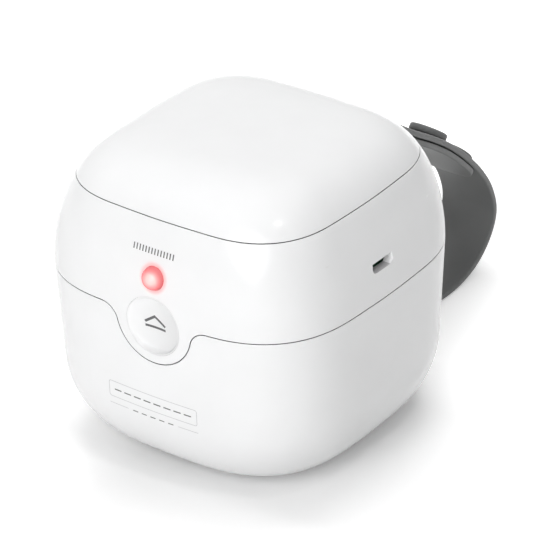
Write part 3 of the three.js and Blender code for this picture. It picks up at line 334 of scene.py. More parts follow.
# painted light and shade: the open button's white is scaled from a little lighter at the left to darker at
# the right
capPaintedShade = {"from": -5.0, "to": 7.5, "left": 1.03, "right": 0.86}
quartz = {"stops": [(0.3, (0.93, 0.95, 0.98)), (0.7, (0.97, 0.98, 1.0))], "fleckScale": 600.0,
          "rough": (0.01, 0.05), "clear": 0.9, "bending": 1.46}


def distanceFromLamp(tree, aside=0.0):
    moved = addNode(tree, "ShaderNodeMapping", {
        "Vector": objectPlace(tree), "Location": (-power["x"] - aside, 0, -power["z"] - aside),
        "Scale": (1 / mm, 0, 1 / mm)})
    return measured(tree, "LENGTH", moved)


def glowShader(tree):
    reach = maths(tree, "DIVIDE", distanceFromLamp(tree, glow["aside"]), glow["reach"])
    # painted shade: near its foot the dome's colour and glow are mixed towards a dark red, where it meets
    # its hole
    start, end, share = glow["edge"]
    edge = mapped(tree, distanceFromLamp(tree), start, end, 0.0, share)
    tone = mixed(tree, edge, toneRamp(tree, reach, glow["stops"]), glow["edgePaintedShade"])
    flecks = noise(tree, objectPlace(tree), glow["fleckScale"])
    return addNode(tree, "ShaderNodeBsdfPrincipled", {
        "Base Color": tone, "Emission Color": tone, "Emission Strength": glow["strength"],
        "Roughness": mapped(tree, flecks, 0, 1, *glow["rough"]), "Coat Weight": glow["coat"],
        "Coat Roughness": glow["coatRough"], "Specular IOR Level": glow["gloss"],
        "Normal": addNode(tree, "ShaderNodeBump", {"Height": flecks, "Distance": glow["depth"] * 1e-6})})


def whiteShader(tree, recolor):
    shader = surfaceShader(tree, "glossWhite")
    tone = shader.inputs["Base Color"]
    tree.links.new(recolor(tree, tone.links[0].from_socket), tone)
    return shader


# painted light: the red glow's halo is mixed into the white plastic's colour round the lit button, on the
# front only
def paintedHaloTone(tree, plain):
    spot = mapped(tree, distanceFromLamp(tree), power["hole"], power["hole"] + glow["haloReach"], 1.0, 0.0,
                  interpolation_type="SMOOTHERSTEP")
    facing = maths(tree, "LESS_THAN", separated(tree, objectPlace(tree))["Y"], glow["haloFrontY"])
    share = maths(tree, "MULTIPLY", maths(tree, "POWER", spot, glow["haloFall"]), facing)
    return mixed(tree, share, plain, glow["halo"])


# painted shade: the cap's colour darkens towards the right, and is painted a little lighter at the left
def paintCapShade(tree, plain):
    shade = mapped(tree, separated(tree, objectPlace(tree))["X"], capPaintedShade["from"] * mm, capPaintedShade["to"] * mm,
                   capPaintedShade["left"], capPaintedShade["right"])
    return addNode(tree, "ShaderNodeVectorMath", {0: plain, "Scale": shade}, operation="SCALE").outputs[0]


def quartzShader(tree):
    flecks = noise(tree, objectPlace(tree), quartz["fleckScale"])
    return addNode(tree, "ShaderNodeBsdfPrincipled", {
        "Base Color": toneRamp(tree, flecks, quartz["stops"]), "IOR": quartz["bending"],
        "Roughness": mapped(tree, flecks, 0, 1, *quartz["rough"]), "Transmission Weight": quartz["clear"]})


finish = {name: makeFinish(name, surfaceShader, name) for name in finishes}
finish["litRed"] = makeFinish("litRed", glowShader)
finish["glossWhitePaintedHalo"] = makeFinish("glossWhitePaintedHalo", whiteShader, paintedHaloTone)
finish["capWhitePaintedShade"] = makeFinish("capWhitePaintedShade", whiteShader, paintCapShade)
finish["quartzPane"] = makeFinish("quartzPane", quartzShader)
print("finishes made:", len(finish))

# Casing: a rounded cube whose outline and corners change with height. Millimetres from here on.
casing = {
    "half": 37.49, "partingZ": 42.6, "height": 72.4, "capSeamZ": 63.9, "bottomZ": 0.5, "bottomHalf": 20.9,
    "bottomRound": 18.5, "draft": 0.8, "crown": 0.99, "shoulderPower": 1.72, "flatPower": 5.84,
    "cornerPower": 2.47, "bottomShare": 0.771, "partingShare": 0.656, "topShare": 0.59, "bulge": 0.0266,
    "wall": 2.0, "floor": 3.6, "fineX": 17.5, "rimRoll": 0.11, "rimPaintedShade": 0.34, "partingGap": 0.2,
    "capGap": 0.15,
}
dip = {"radius": 10.0, "centreZ": 41.45, "shoulder": 4.4, "x": power["x"]}


def blendValue(low, high, share):
    return low + (high - low) * share


def between(low, high, count):
    return [blendValue(low, high, share) for share in np.linspace(0, 1, count)[1:-1]]


def wholeTurn(count):
    return np.linspace(0, 4 * quarterTurn, count, endpoint=False)


def quarterSteps(count):
    return np.linspace(0, quarterTurn, count)


# Heights round a quarter circle that starts level, from 0 to 1
def risingSteps(count):
    return 1 - np.cos(quarterSteps(count))


# Where a rising test stops being true, by halving
def lastTrue(test, low, high):
    for _ in range(44):
        middle = (low + high) / 2
        held = test(middle)
        low, high = np.where(held, middle, low), np.where(held, high, middle)
    return low


def cornerShare(z):
    return np.interp(z, [0, casing["partingZ"], casing["height"]],
                     [casing["bottomShare"], casing["partingShare"], casing["topShare"]])


def lowerHalf(z, inset=0.0):
    z = np.asarray(z, float)
    share = np.clip((z - casing["bottomZ"] - inset) / (casing["bottomRound"] - inset), 0, 1)
    edge = casing["half"] - casing["bottomHalf"] - casing["draft"]
    rise = edge * np.sqrt(1 - (1 - share) ** 2)
    return casing["bottomHalf"] - inset + rise + casing["draft"] * z / casing["partingZ"]


def upperZ(share, inset=0.0):
    rise = casing["height"] - casing["partingZ"] - casing["crown"] - inset
    bent = (1 - np.clip(share, 0, 1) ** casing["flatPower"]) ** (1 / casing["shoulderPower"])
    return casing["partingZ"] + rise * bent + casing["crown"] * (1 - share ** 2)


def halfAt(z, inset=0.0):
    z = np.asarray(z, float)
    level = np.maximum(z, casing["partingZ"])
    upper = lastTrue(lambda share: upperZ(share, inset) > level, np.zeros_like(z), np.ones_like(z))
    return np.where(z < casing["partingZ"], lowerHalf(z, inset), (casing["half"] - inset) * upper)


# Half outline of a section for u from 0 (middle of the front) to 5 (middle of the back), for half width 1
def outlineAt(u, share):
    u, share = np.broadcast_arrays(np.asarray(u, float), np.asarray(share, float))
    straight = 1 - share
    turn = np.where(u < 3, np.clip(u - 1, 0, 1), 1 - np.clip(u - 3, 0, 1)) * quarterTurn
    fullness = casing["cornerPower"]
    blunt = (np.cos(turn) ** fullness + np.sin(turn) ** fullness) ** (-1 / fullness)
    ahead = straight + share * blunt * np.cos(turn)
    aside = straight + share * blunt * np.sin(turn)
    ahead = np.where(u < 3, ahead, -ahead)
    ahead = np.where((u >= 2) & (u <= 3), straight * (5 - 2 * u), ahead)
    aside = np.where(u <= 1, u * straight, aside)
    aside = np.where(u >= 4, (5 - u) * straight, aside)
    swell = 1 - casing["bulge"] * (1 - np.cos(4 * np.arctan2(aside, ahead))) / 2
    return swell * aside, -swell * ahead


def outlineFromX(x, half, share):
    x, half, share = np.broadcast_arrays(*(np.asarray(v, float) for v in (x, half, share)))
    return lastTrue(lambda u: half * outlineAt(u, share)[0] < x, np.zeros(x.shape), np.full(x.shape, 1.8))


def frontY(x, z):
    half, share = halfAt(z), cornerShare(z)
    return half * outlineAt(outlineFromX(np.abs(x), half, share), share)[1]


def columns(start, counts):
    return np.concatenate([np.linspace(start + i, start + i + 1, n + 1)[1:] for i, n in enumerate(counts)])


frontX = np.concatenate([np.arange(0, 6.6, 0.4), np.arange(6.8, 13, 0.125),
                         np.linspace(13, casing["fineX"], 14)])
cornerSteps = columns(0, [24])
restU = columns(2, (16, 28, 8))
plainU = np.concatenate([[0], columns(0, (6, 24, 12, 24, 6))])


def wholeRing(right, left):
    return np.concatenate([right, left[1:-1][::-1] * np.array([-1, 1, 1])])


# A ring whose first columns stand at fixed x, so that they can follow the lid's tongue.
# The values are alike all round, or one row for the right side and one for the left.
def fineRing(z, half, share=None):
    fine = len(frontX)
    shape = (2, fine + len(cornerSteps) + len(restU))
    values = (z, half, cornerShare(z) if share is None else share)
    sides = []
    for level, reach, corner in zip(*(np.broadcast_to(np.asarray(v, float), shape) for v in values)):
        first = outlineFromX(frontX, reach[:fine], corner[:fine])
        turned = first[-1] + (2 - first[-1]) * cornerSteps
        x, y = outlineAt(np.concatenate([first, turned, restU]), corner)
        sides.append(np.stack([x * reach, y * reach, level], axis=1))
    return wholeRing(*sides)


def plainRing(z, half, share=None, centreY=0.0):
    x, y = outlineAt(plainU, cornerShare(z) if share is None else share)
    side = np.stack([x * half, y * half + centreY, np.full(x.shape, float(z))], axis=1)
    return wholeRing(side, side)


# Height of the seam over the columns, right side and left, for an offset that grows the lid's side
def seamHeights(offset):
    radius, shoulder = dip["radius"] + offset, dip["shoulder"] - offset
    seamZ = casing["partingZ"] - offset
    drop = seamZ - shoulder - dip["centreZ"]
    shoulderX = np.sqrt((radius + shoulder) ** 2 - drop ** 2)
    touchX = shoulderX * radius / (radius + shoulder)
    away = np.abs(frontX[None] - np.array([[dip["x"]], [-dip["x"]]]))
    inBowl = dip["centreZ"] - np.sqrt(np.maximum(radius ** 2 - away ** 2, 0))
    inShoulder = seamZ - shoulder + np.sqrt(np.maximum(shoulder ** 2 - (away - shoulderX) ** 2, 0))
    front = np.where(away < touchX, inBowl, np.where(away < shoulderX, inShoulder, seamZ))
    return np.concatenate([front, np.full((2, len(cornerSteps) + len(restU)), seamZ)], axis=1)


def gridMesh(name, rings, ringsClose=False, paintedShadeRows=()):
    rings = np.asarray(rings)
    count, around = rings.shape[:2]
    verts = rings.reshape(-1, 3)
    c = np.arange(around)
    n = np.roll(c, -1)
    faces, looks = [], []
    for r in range(count if ringsClose else count - 1):
        a, b = r * around, ((r + 1) % count) * around
        faces += np.stack([a + c, a + n, b + n, b + c], axis=1).tolist()
        looks += [int(r in paintedShadeRows)] * around
    if not ringsClose:
        verts = np.concatenate([verts, rings[0].mean(axis=0)[None], rings[-1].mean(axis=0)[None]])
        high, last = len(verts) - 1, (count - 1) * around
        faces += np.stack([np.full(around, high - 1), n, c], axis=1).tolist()
        faces += np.stack([last + c, last + n, np.full(around, high)], axis=1).tolist()
    mesh = meshFrom(name, verts.tolist(), faces)
    # the listed rows take the second material, painted shade for the seams
    if paintedShadeRows:
        looks += [0] * (len(faces) - len(looks))
        mesh.materials.append(None)
        mesh.materials.append(None)
        mesh.polygons.foreach_set("material_index", looks)
    return mesh


def faceOutwards(mesh):
    shape = bmesh.new()
    shape.from_mesh(mesh)
    bmesh.ops.recalc_face_normals(shape, faces=shape.faces)
    shape.to_mesh(mesh)
    shape.free()
    return mesh


# A straight solid along one axis through two outlines, the second one at its far end
def prism(axis, outline, start, end, endOutline=None):
    count, at = len(outline), "xyz".index(axis)
    verts = [(*p[:at], start, *p[at:]) for p in outline]
    verts += [(*p[:at], end, *p[at:]) for p in endOutline or outline]
    faces = [(i, (i + 1) % count, count + (i + 1) % count, count + i) for i in range(count)]
    faces += [tuple(range(count)), tuple(range(count, 2 * count))]
    return faceOutwards(meshFrom("tool", verts, faces))


def rod(axis, place, radius, start, end, sides=40):
    outline = [(place[0] + radius * np.cos(t), place[1] + radius * np.sin(t)) for t in wholeTurn(sides)]
    return prism(axis, outline, start, end)


def rectangle(u0, u1, v0, v1):
    return [(u0, v0), (u1, v0), (u1, v1), (u0, v1)]


def fourCorners(x, y, centreY=0.0):
    return [(right * x, centreY + back * y) for right in (1, -1) for back in (1, -1)]


# Adds solids to a mesh and takes others away, in the order given
def combine(mesh, steps):
    whole = linkObject("whole", mesh)
    tools = []
    for sign, tool in steps:
        tools.append(linkObject("tool", tool))
        change = whole.modifiers.new("change", "BOOLEAN")
        change.operation = {"+": "UNION", "-": "DIFFERENCE"}[sign]
        change.solver = "MANIFOLD"
        change.object = tools[-1]
    made = bpy.data.meshes.new_from_object(whole.evaluated_get(bpy.context.evaluated_depsgraph_get()))
    for holder in [*tools, whole]:
        bpy.data.objects.remove(holder)
    return made


def readAll(items, key, width=3, kind=float):
    values = np.empty(len(items) * width, kind)
    items.foreach_get(key, values)
    return values.reshape(-1, width) if width > 1 else values


def shadeSmooth(mesh, crease):
    mesh.shade_smooth()
    mesh.set_sharp_from_angle(angle=np.radians(crease))


# Keeps the shading of the uncut surface on a cut mesh; new edges stay crisp
def shadeLike(mesh, model, near=0.004, agreement=0.8):
    model.calc_loop_triangles()
    places = readAll(model.vertices, "co")
    corners = readAll(model.loop_triangles, "vertices", kind=np.int64)
    a, b, c = (places[corners[:, i]] for i in range(3))
    normals = np.zeros_like(places)
    for i in range(3):
        np.add.at(normals, corners[:, i], np.cross(b - a, c - a))
    normals /= np.maximum(np.linalg.norm(normals, axis=1), 1e-12)[:, None]
    tree = BVHTree.FromPolygons(places.tolist(), corners.tolist(), all_triangles=True)
    verts = readAll(mesh.vertices, "co")
    smooth = np.zeros_like(verts)
    for i, place in enumerate(verts):
        hit, _, face, gap = tree.find_nearest(Vector(place))
        if gap is None or gap > near:
            continue
        tri = corners[face]
        edge = places[tri] - hit
        blended = sum(np.linalg.norm(np.cross(edge[k - 2], edge[k - 1])) * normals[tri[k]] for k in range(3))
        smooth[i] = blended / max(np.linalg.norm(blended), 1e-9)
    wanted = smooth[readAll(mesh.loops, "vertex_index", 1, np.int64)]
    own = readAll(mesh.corner_normals, "vector", kind=np.float32)
    flat = np.repeat(readAll(mesh.polygons, "normal", kind=np.float32),
                     readAll(mesh.polygons, "loop_total", 1, np.int64), axis=0)
    fits = np.einsum("ij,ij->i", wanted, flat) > agreement
    own[fits] = wanted[fits]
    mesh.normals_split_custom_set(own.tolist())


def addPiece(name, mesh, look, body, model=None, crease=35.0):
    shadeSmooth(mesh, crease)
    if model is not None:
        shadeLike(mesh, model)
    mesh.transform(Matrix.Scale(mm, 4))
    looks = readAll(mesh.polygons, "material_index", 1, np.int32)
    mesh.materials.clear()
    # the second and third materials are painted shade: dark grey in the seams, mid grey in the connector's
    # opening
    for used in (look, "seamShade", "openingShade")[:looks.max() + 1]:
        mesh.materials.append(finish[used])
    mesh.polygons.foreach_set("material_index", looks)
    mesh.name = name
    piece = linkObject(name, mesh)
    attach(piece, body)
    return piece


# Rows that roll the edge of a wall over: pairs of how far back from the edge and how far in from the face
rimRows = [(casing["rimRoll"] * (1 - np.sin(a)), casing["rimRoll"] * (1 - np.cos(a)))
           for a in quarterSteps(5)]
# the last row ends a band of the rim that is painted dark as shade in the seam's gap
rimRows.append((0.0, casing["rimRoll"] + casing["rimPaintedShade"]))


def rolledRim(levelAt, halfOf, rows=rimRows):
    return [(levelAt(back), halfOf(levelAt(back)) - inset) for back, inset in rows]


hinge = {"y": 37.85, "z": 42.6, "radius": 2.1, "clear": 0.4, "lidHalf": 7.5, "baseFrom": 8.1, "half": 13.0,
         "room": 13.3, "endGap": 0.3, "pin": 1.2, "pinReach": 20, "web": 3.6, "webGap": 0.26,
         "insideY": 35.8}
strapSlots = {"half": 7.85, "upperZ": 60.2, "lowerZ": 10.7, "tall": 1.05, "low": 1.4, "upperFromY": 28,
              "lowerFromY": 25, "toY": 42}
foot = {"half": 19.5, "recessHalf": 19.8, "recessZ": 1.9, "recessEdge": 0.12, "thickness": 1.6,
        "screwPlace": 11.5, "centreY": 1.6, "socket": 4.0, "shank": 1.3, "head": 2.3, "counterboreZ": 3.25,
        "socketTopZ": 5.08, "cutFromZ": -1, "roll": 0.4, "topRoll": 0.1}


def web(fromX, toX, low, high):
    outline = rectangle(hinge["insideY"], hinge["y"], hinge["z"] + low, hinge["z"] + high)
    return prism("x", outline, fromX, toX)


def knuckle(fromX, toX, radius=hinge["radius"]):
    return rod("x", (hinge["y"], hinge["z"]), radius, fromX, toX, 48)


def strapSlot(lowZ, highZ, fromY):
    outline = rectangle(-strapSlots["half"], strapSlots["half"], lowZ, highZ)
    return prism("y", outline, fromY, strapSlots["toY"])


def makeBase():
    gap, bottom, inner = casing["partingGap"] / 2, casing["bottomZ"], casing["floor"]
    recess, edge, share = foot["recessHalf"], foot["recessEdge"], casing["bottomShare"]
    rows = [(foot["recessZ"], recess, share), (bottom + 1.0, recess, share), (bottom + edge, recess, share),
            (bottom, recess + edge, share)]
    edgeTop = bottom + casing["bottomRound"]
    rows += [(z, lowerHalf(z)) for z in bottom + casing["bottomRound"] * risingSteps(25)]
    rows += [(z, lowerHalf(z)) for z in between(edgeTop, seamHeights(gap + casing["rimRoll"]), 19)]
    rows += rolledRim(lambda back: seamHeights(gap + back), lowerHalf)
    paintedShadeRows = (len(rows) - 3, len(rows) - 2)
    top, floorZ = seamHeights(gap), bottom + inner
    levels = [top, *between(top, edgeTop, 9), *(floorZ + (edgeTop - floorZ) * risingSteps(11)[::-1])]
    rows += [(z, lowerHalf(z, inner) + inner - casing["wall"]) for z in levels]
    shell = gridMesh("base", [fineRing(*row) for row in rows], paintedShadeRows=paintedShadeRows)
    steps = []
    for place in fourCorners(foot["screwPlace"], foot["screwPlace"], foot["centreY"]):
        steps += [("+", rod("z", place, foot["socket"], foot["recessZ"] + 0.01, foot["socketTopZ"])),
                  ("-", rod("z", place, foot["shank"], foot["cutFromZ"], foot["socketTopZ"] + 1, 32)),
                  ("-", rod("z", place, foot["head"], foot["cutFromZ"], foot["counterboreZ"]))]
    slotZ = strapSlots["lowerZ"]
    slot = strapSlot(slotZ - strapSlots["low"], slotZ + strapSlots["tall"], strapSlots["lowerFromY"])
    steps += [("-", slot),
              ("-", knuckle(-hinge["baseFrom"], hinge["baseFrom"], hinge["radius"] + hinge["clear"]))]
    for side in (1, -1):
        ends = sorted((side * hinge["baseFrom"], side * hinge["half"]))
        steps += [("+", knuckle(*ends)), ("+", web(*ends, -hinge["web"], -hinge["webGap"]))]
    steps.append(("-", knuckle(-hinge["pinReach"], hinge["pinReach"], hinge["pin"])))
    model = shell.copy()
    piece = addPiece("base_casing", combine(shell, steps), "glossWhite", "base", model)
    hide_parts("base_shell")
    return piece


port = {"y": -1.8, "z": 50.6, "half": 3.5, "tall": 1.15, "chamfer": 0.9, "flare": 0.2, "flareDepth": 0.35,
        "proud": 0.1, "cut": 5, "wallX": 34.5, "facingUp": 0.8}
buttonCut = (-casing["half"] - 5, -casing["half"] + 7)  # from before the front wall to behind it
lidBoss = {"x": 32.2, "y": 18.5, "radius": 2.2, "foot": 44.9, "top": 57.0, "hole": 1.1, "holeFrom": 44,
           "holeDepth": 6.5, "ribReach": 1.9, "ribHalf": 1.1}
openButton = {"radius": 7.03, "hole": 7.06, "sides": 160, "z": 40.6, "scoop": 1.5, "scoopEdge": 26,
              "edgeSpread": 14, "deeper": 0.4, "shallow": 0.75, "rim": 0.3, "sunk": 0.01,
              "flangeRadius": 7.9, "flangeY": -34.86, "flangeThickness": 0.8, "flangeTopZ": 44.1,
              "dishEdge": (0.3, 0.2, 0.12, 0.07, 0.03, 0), "rimEdge": ((0.06, 0), (0.02, 0.015), (0, 0.05))}


def portOutline(grow):
    half, tall, cut = port["half"] + grow, port["tall"] + grow, port["chamfer"]
    outline = [(half, tall), (-half, tall), (-half, cut - tall), (cut - half, -tall), (half - cut, -tall),
               (half, cut - tall)]
    return [(port["y"] + y, port["z"] + z) for y, z in outline]


def makeLid():
    gap, wall = casing["partingGap"] / 2, casing["wall"]
    top = casing["capSeamZ"] - casing["capGap"] / 2
    rows = rolledRim(lambda back: seamHeights(-gap - back), halfAt, rimRows[::-1])
    low = seamHeights(-gap - casing["rimRoll"])
    rows += [(z, halfAt(z)) for z in between(low, top - casing["rimRoll"], 31)]
    rows += rolledRim(lambda back: top - back, halfAt)
    paintedShadeRows = (0, 1, len(rows) - 3, len(rows) - 2)
    for share in np.linspace(1, 0, 13):
        z = blendValue(seamHeights(-gap), top, share)
        rows.append((z, np.where(z < casing["partingZ"], casing["half"] - wall, halfAt(z, wall))))
    shell = gridMesh("lid", [fineRing(*row) for row in rows], ringsClose=True, paintedShadeRows=paintedShadeRows)
    steps = []
    for x, y in fourCorners(lidBoss["x"], lidBoss["y"]):
        ends = sorted((x, x + np.sign(x) * lidBoss["ribReach"]))
        rib = rectangle(*ends, y - lidBoss["ribHalf"], y + lidBoss["ribHalf"])
        steps += [("+", prism("z", rib, lidBoss["foot"], lidBoss["top"] - 0.05)),
                  ("+", rod("z", (x, y), lidBoss["radius"], lidBoss["foot"] + 0.02, lidBoss["top"])),
                  ("-", rod("z", (x, y), lidBoss["hole"], lidBoss["holeFrom"],
                            lidBoss["foot"] + lidBoss["holeDepth"], 32))]
    face = float(halfAt(port["z"]))
    mouth = portOutline(port["flare"] * (1 + port["proud"] / port["flareDepth"]))
    slotZ, tall = strapSlots["upperZ"], strapSlots["tall"]
    for button in (openButton, power):
        steps.append(("-", rod("y", (dip["x"], button["z"]), button["hole"], *buttonCut, button["sides"])))
    steps += [("-", prism("x", portOutline(0), face - port["cut"], face + port["cut"])),
              ("-", prism("x", portOutline(0), face - port["flareDepth"], face + port["proud"], mouth)),
              ("-", strapSlot(slotZ - tall, slotZ + tall, strapSlots["upperFromY"]))]
    half = hinge["lidHalf"]
    for side in (1, -1):
        ends = sorted((side * (half + hinge["endGap"]), side * hinge["room"]))
        steps.append(("-", knuckle(*ends, hinge["radius"] + hinge["clear"])))
    steps += [("+", web(-half, half, hinge["webGap"], hinge["web"])), ("+", knuckle(-half, half)),
              ("-", knuckle(-hinge["pinReach"], hinge["pinReach"], hinge["pin"]))]
    model = shell.copy()
    cut = combine(shell, steps)
    # painted shade: faces of the opening's lower wall that face up take the third material, a darker grey
    for side in cut.polygons:  # the lower wall of the connector's opening, a little shaded
        aside, rise = abs(side.center.y - port["y"]), abs(side.center.z - port["z"])
        within = aside < port["half"] + port["flare"] and rise < port["tall"] + port["flare"]
        if within and side.center.x > port["wallX"] and side.normal.z > port["facingUp"]:
            side.material_index = 2
    piece = addPiece("lid_casing", cut, "glossWhitePaintedHalo", "lid", model)
    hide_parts("lid_shell")
    return piece


lip = {"clear": 0.3, "thickness": 1.2, "drop": 2.6, "crowding": 1.35}


def makeCover():
    seam, wall, half = casing["capSeamZ"], casing["wall"], casing["half"]
    bottom, share = seam + casing["capGap"] / 2, cornerShare(seam)
    outer = halfAt(seam, wall) - lip["clear"]
    inner = outer - lip["thickness"]
    under = [(upperZ(s, wall), (half - wall) * s) for s in np.linspace(0.03, 0.9, 12)]
    rows = [row for row in under if row[0] > bottom + wall]
    lowest = seam - lip["drop"]
    rows += [(bottom + wall, inner, share), (lowest, inner, share), (lowest, outer, share),
             (bottom, outer, share)]
    paintedShadeRows = (len(rows), len(rows) + 1)
    rows += rolledRim(lambda back: bottom + back, halfAt, rimRows[::-1])
    shares = halfAt(seam) / half * (1 - np.linspace(0, 1, 64)[1:-1] ** lip["crowding"])
    rows += [row for row in zip(upperZ(shares), half * shares) if row[0] > bottom + casing["rimRoll"]]
    shell = gridMesh("cover", [plainRing(*row) for row in rows], paintedShadeRows=paintedShadeRows)
    piece = addPiece("cover_casing", shell.copy(), "glossWhite", "lid", shell)
    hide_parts("top_cover")
    return piece


baseCasing = makeBase()
lidCasing = makeLid()
coverCasing = makeCover()
print("casing made:", [len(p.data.polygons) for p in (baseCasing, lidCasing, coverCasing)])


# Round pieces on the front: rings of a polar grid, each (radius, y), where a third value, True, makes
# the y a depth behind the casing's face
def polarMesh(name, rows, button):
    turns = wholeTurn(button["sides"])
    rings = []
    for radius, depth, *follows in rows:
        x, z = dip["x"] + radius * np.sin(turns), button["z"] - radius * np.cos(turns)
        y = frontY(x, z) + depth if follows else np.full(len(turns), depth)
        rings.append(np.stack([x, y, z], axis=1))
    return gridMesh(name, np.array(rings)[::-1])


def makeOpenButton():
    radius, sunk, wide = openButton["radius"], openButton["sunk"], openButton["flangeRadius"]
    dish = radius - openButton["rim"]
    turns = wholeTurn(openButton["sides"])

    def scooped(r):
        # deeper towards the lower edge, crisp at the lower right and soft at the upper left
        x, z = r * np.sin(turns) / dish, -r * np.cos(turns) / dish
        deep = openButton["scoop"] * (1 - x ** 2) * (openButton["shallow"] - openButton["deeper"] * z)
        edge = openButton["scoopEdge"] + openButton["edgeSpread"] * np.cos(turns - quarterTurn / 2)
        return sunk + deep * (1 - (r / dish) ** edge)

    radii = [pole, *between(0, dish, 17), *(dish - np.array(openButton["dishEdge"]))]
    rows = [*((r, scooped(r), True) for r in radii), (dish + 0.06, sunk - 0.004, True)]
    rows += [(radius - back, sunk + depth, True) for back, depth in openButton["rimEdge"]]
    back = openButton["flangeY"]
    inside = back + openButton["flangeThickness"]
    rows += [(radius, back), (wide, back), (wide, inside), (pole, inside)]
    disc = polarMesh("open", rows, openButton)
    trim = prism("y", rectangle(-20, 20, openButton["flangeTopZ"], 60), back - 0.3, -20)
    model = disc.copy()
    piece = addPiece("open_button_cap", combine(disc, [("-", trim)]), "capWhitePaintedShade", "open_button", model, 40)
    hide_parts("open_button")
    return piece


def makePowerButton():
    radius, front, plunger, wide = power["radius"], power["flangeY"], power["plunger"], power["flange"]
    face = -float(halfAt(power["z"]))
    back, tip = front + power["flangeThickness"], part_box("power_button")[1][1] / mm
    rows = [(pole, face - power["stand"])]
    rows += [(radius * np.sin(a), face - power["stand"] * np.cos(a)) for a in quarterSteps(16)[1:]]
    rows += [(radius, face + power["rimRoll"]), (radius, front), (wide, front), (wide, back),
             (plunger, back), (plunger, tip), (pole, tip)]
    dome = polarMesh("power", rows, power)
    piece = addPiece("power_button_dome", dome, "litRed", "power_button", dome.copy(), 40)
    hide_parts("power_button")


openCap = makeOpenButton()
makePowerButton()
print("buttons made")


# Geometry Nodes helpers
def geometryTree(name, sockets):
    tree = bpy.data.node_groups.new(name, "GeometryNodeTree")
    tree.interface.new_socket("Geometry", in_out="INPUT", socket_type="NodeSocketGeometry")
    tree.interface.new_socket("Geometry", in_out="OUTPUT", socket_type="NodeSocketGeometry")
    for label, kind in sockets.items():
        tree.interface.new_socket(label, in_out="INPUT", socket_type="NodeSocket" + kind)
    return tree, tree.nodes.new("NodeGroupInput").outputs, tree.nodes.new("NodeGroupOutput").inputs


def closeTree(tree, given, wanted, shape):
    painted = addNode(tree, "GeometryNodeSetMaterial", {"Geometry": shape, "Material": given["Material"]})
    tree.links.new(painted.outputs[0], wanted[0])
    return tree


def runTree(name, source, tree, values):
    holder = linkObject(name, source)
    change = holder.modifiers.new(tree.name, "NODES")
    change.node_group = tree
    for socket in tree.interface.items_tree:
        if socket.item_type == "SOCKET" and socket.in_out == "INPUT" and socket.name in values:
            change[socket.identifier] = values[socket.name]
    bpy.context.view_layer.update()
    made = bpy.data.meshes.new_from_object(holder.evaluated_get(bpy.context.evaluated_depsgraph_get()))
    bpy.data.objects.remove(holder)
    return made


# Sweeps a rounded strip along a line. The ends of the strip are rounded in its own plane.
def stripTree():
    tree, given, wanted = geometryTree("sweptStrip", {
        "Width": "Float", "Thickness": "Float", "Edge radius": "Float", "Start corner": "Float",
        "End corner": "Float", "Material": "Material"})
    path = addNode(tree, "GeometryNodeMeshToCurve", {"Mesh": given["Geometry"]})
    normal = addNode(tree, "GeometryNodeSetCurveNormal", {"Curve": path}, mode="FREE")
    normal.inputs["Normal"].default_value = (1, 0, 0)
    along = addNode(tree, "GeometryNodeSplineParameter").outputs["Length"]
    total = addNode(tree, "GeometryNodeSplineLength").outputs["Length"]
    kept = addNode(tree, "GeometryNodeCaptureAttribute", {"Geometry": normal})
    for label, value in (("along", along), ("total", total)):
        kept.capture_items.new("FLOAT", label)
        tree.links.new(value, kept.inputs[label])
    shape = addNode(tree, "GeometryNodeCurvePrimitiveQuadrilateral", {
        "Width": given["Width"], "Height": given["Thickness"]})
    rounded = addNode(tree, "GeometryNodeFilletCurve", {
        "Curve": shape, "Radius": given["Edge radius"], "Limit Radius": True, "Count": 5}, mode="POLY")
    swept = addNode(tree, "GeometryNodeCurveToMesh", {
        "Curve": kept, "Profile Curve": rounded, "Fill Caps": True})
    half = maths(tree, "MULTIPLY", given["Width"], 0.5)

    def roundedHalf(distance, radius):
        missing = maths(tree, "MAXIMUM", maths(tree, "SUBTRACT", radius, distance), 0.0)
        squares = [maths(tree, "MULTIPLY", value, value) for value in (radius, missing)]
        reach = maths(tree, "SQRT", maths(tree, "MAXIMUM", maths(tree, "SUBTRACT", *squares), 0.0))
        return maths(tree, "ADD", maths(tree, "SUBTRACT", half, radius), reach)

    run = kept.outputs["along"]
    left = maths(tree, "SUBTRACT", kept.outputs["total"], run)
    ends = roundedHalf(run, given["Start corner"]), roundedHalf(left, given["End corner"])
    share = maths(tree, "DIVIDE", maths(tree, "MINIMUM", *ends), half)
    x, y, z = separated(tree, addNode(tree, "GeometryNodeInputPosition"))
    moved = addNode(tree, "ShaderNodeCombineXYZ", {"X": maths(tree, "MULTIPLY", x, share), "Y": y, "Z": z})
    shaped = addNode(tree, "GeometryNodeSetPosition", {"Geometry": swept, "Position": moved})
    solid = addNode(tree, "GeometryNodeRealizeInstances", {"Geometry": shaped})
    return closeTree(tree, given, wanted, solid)


def lineMesh(points):
    return meshFrom("line", np.array(points).tolist(), [], [(i, i + 1) for i in range(len(points) - 1)])


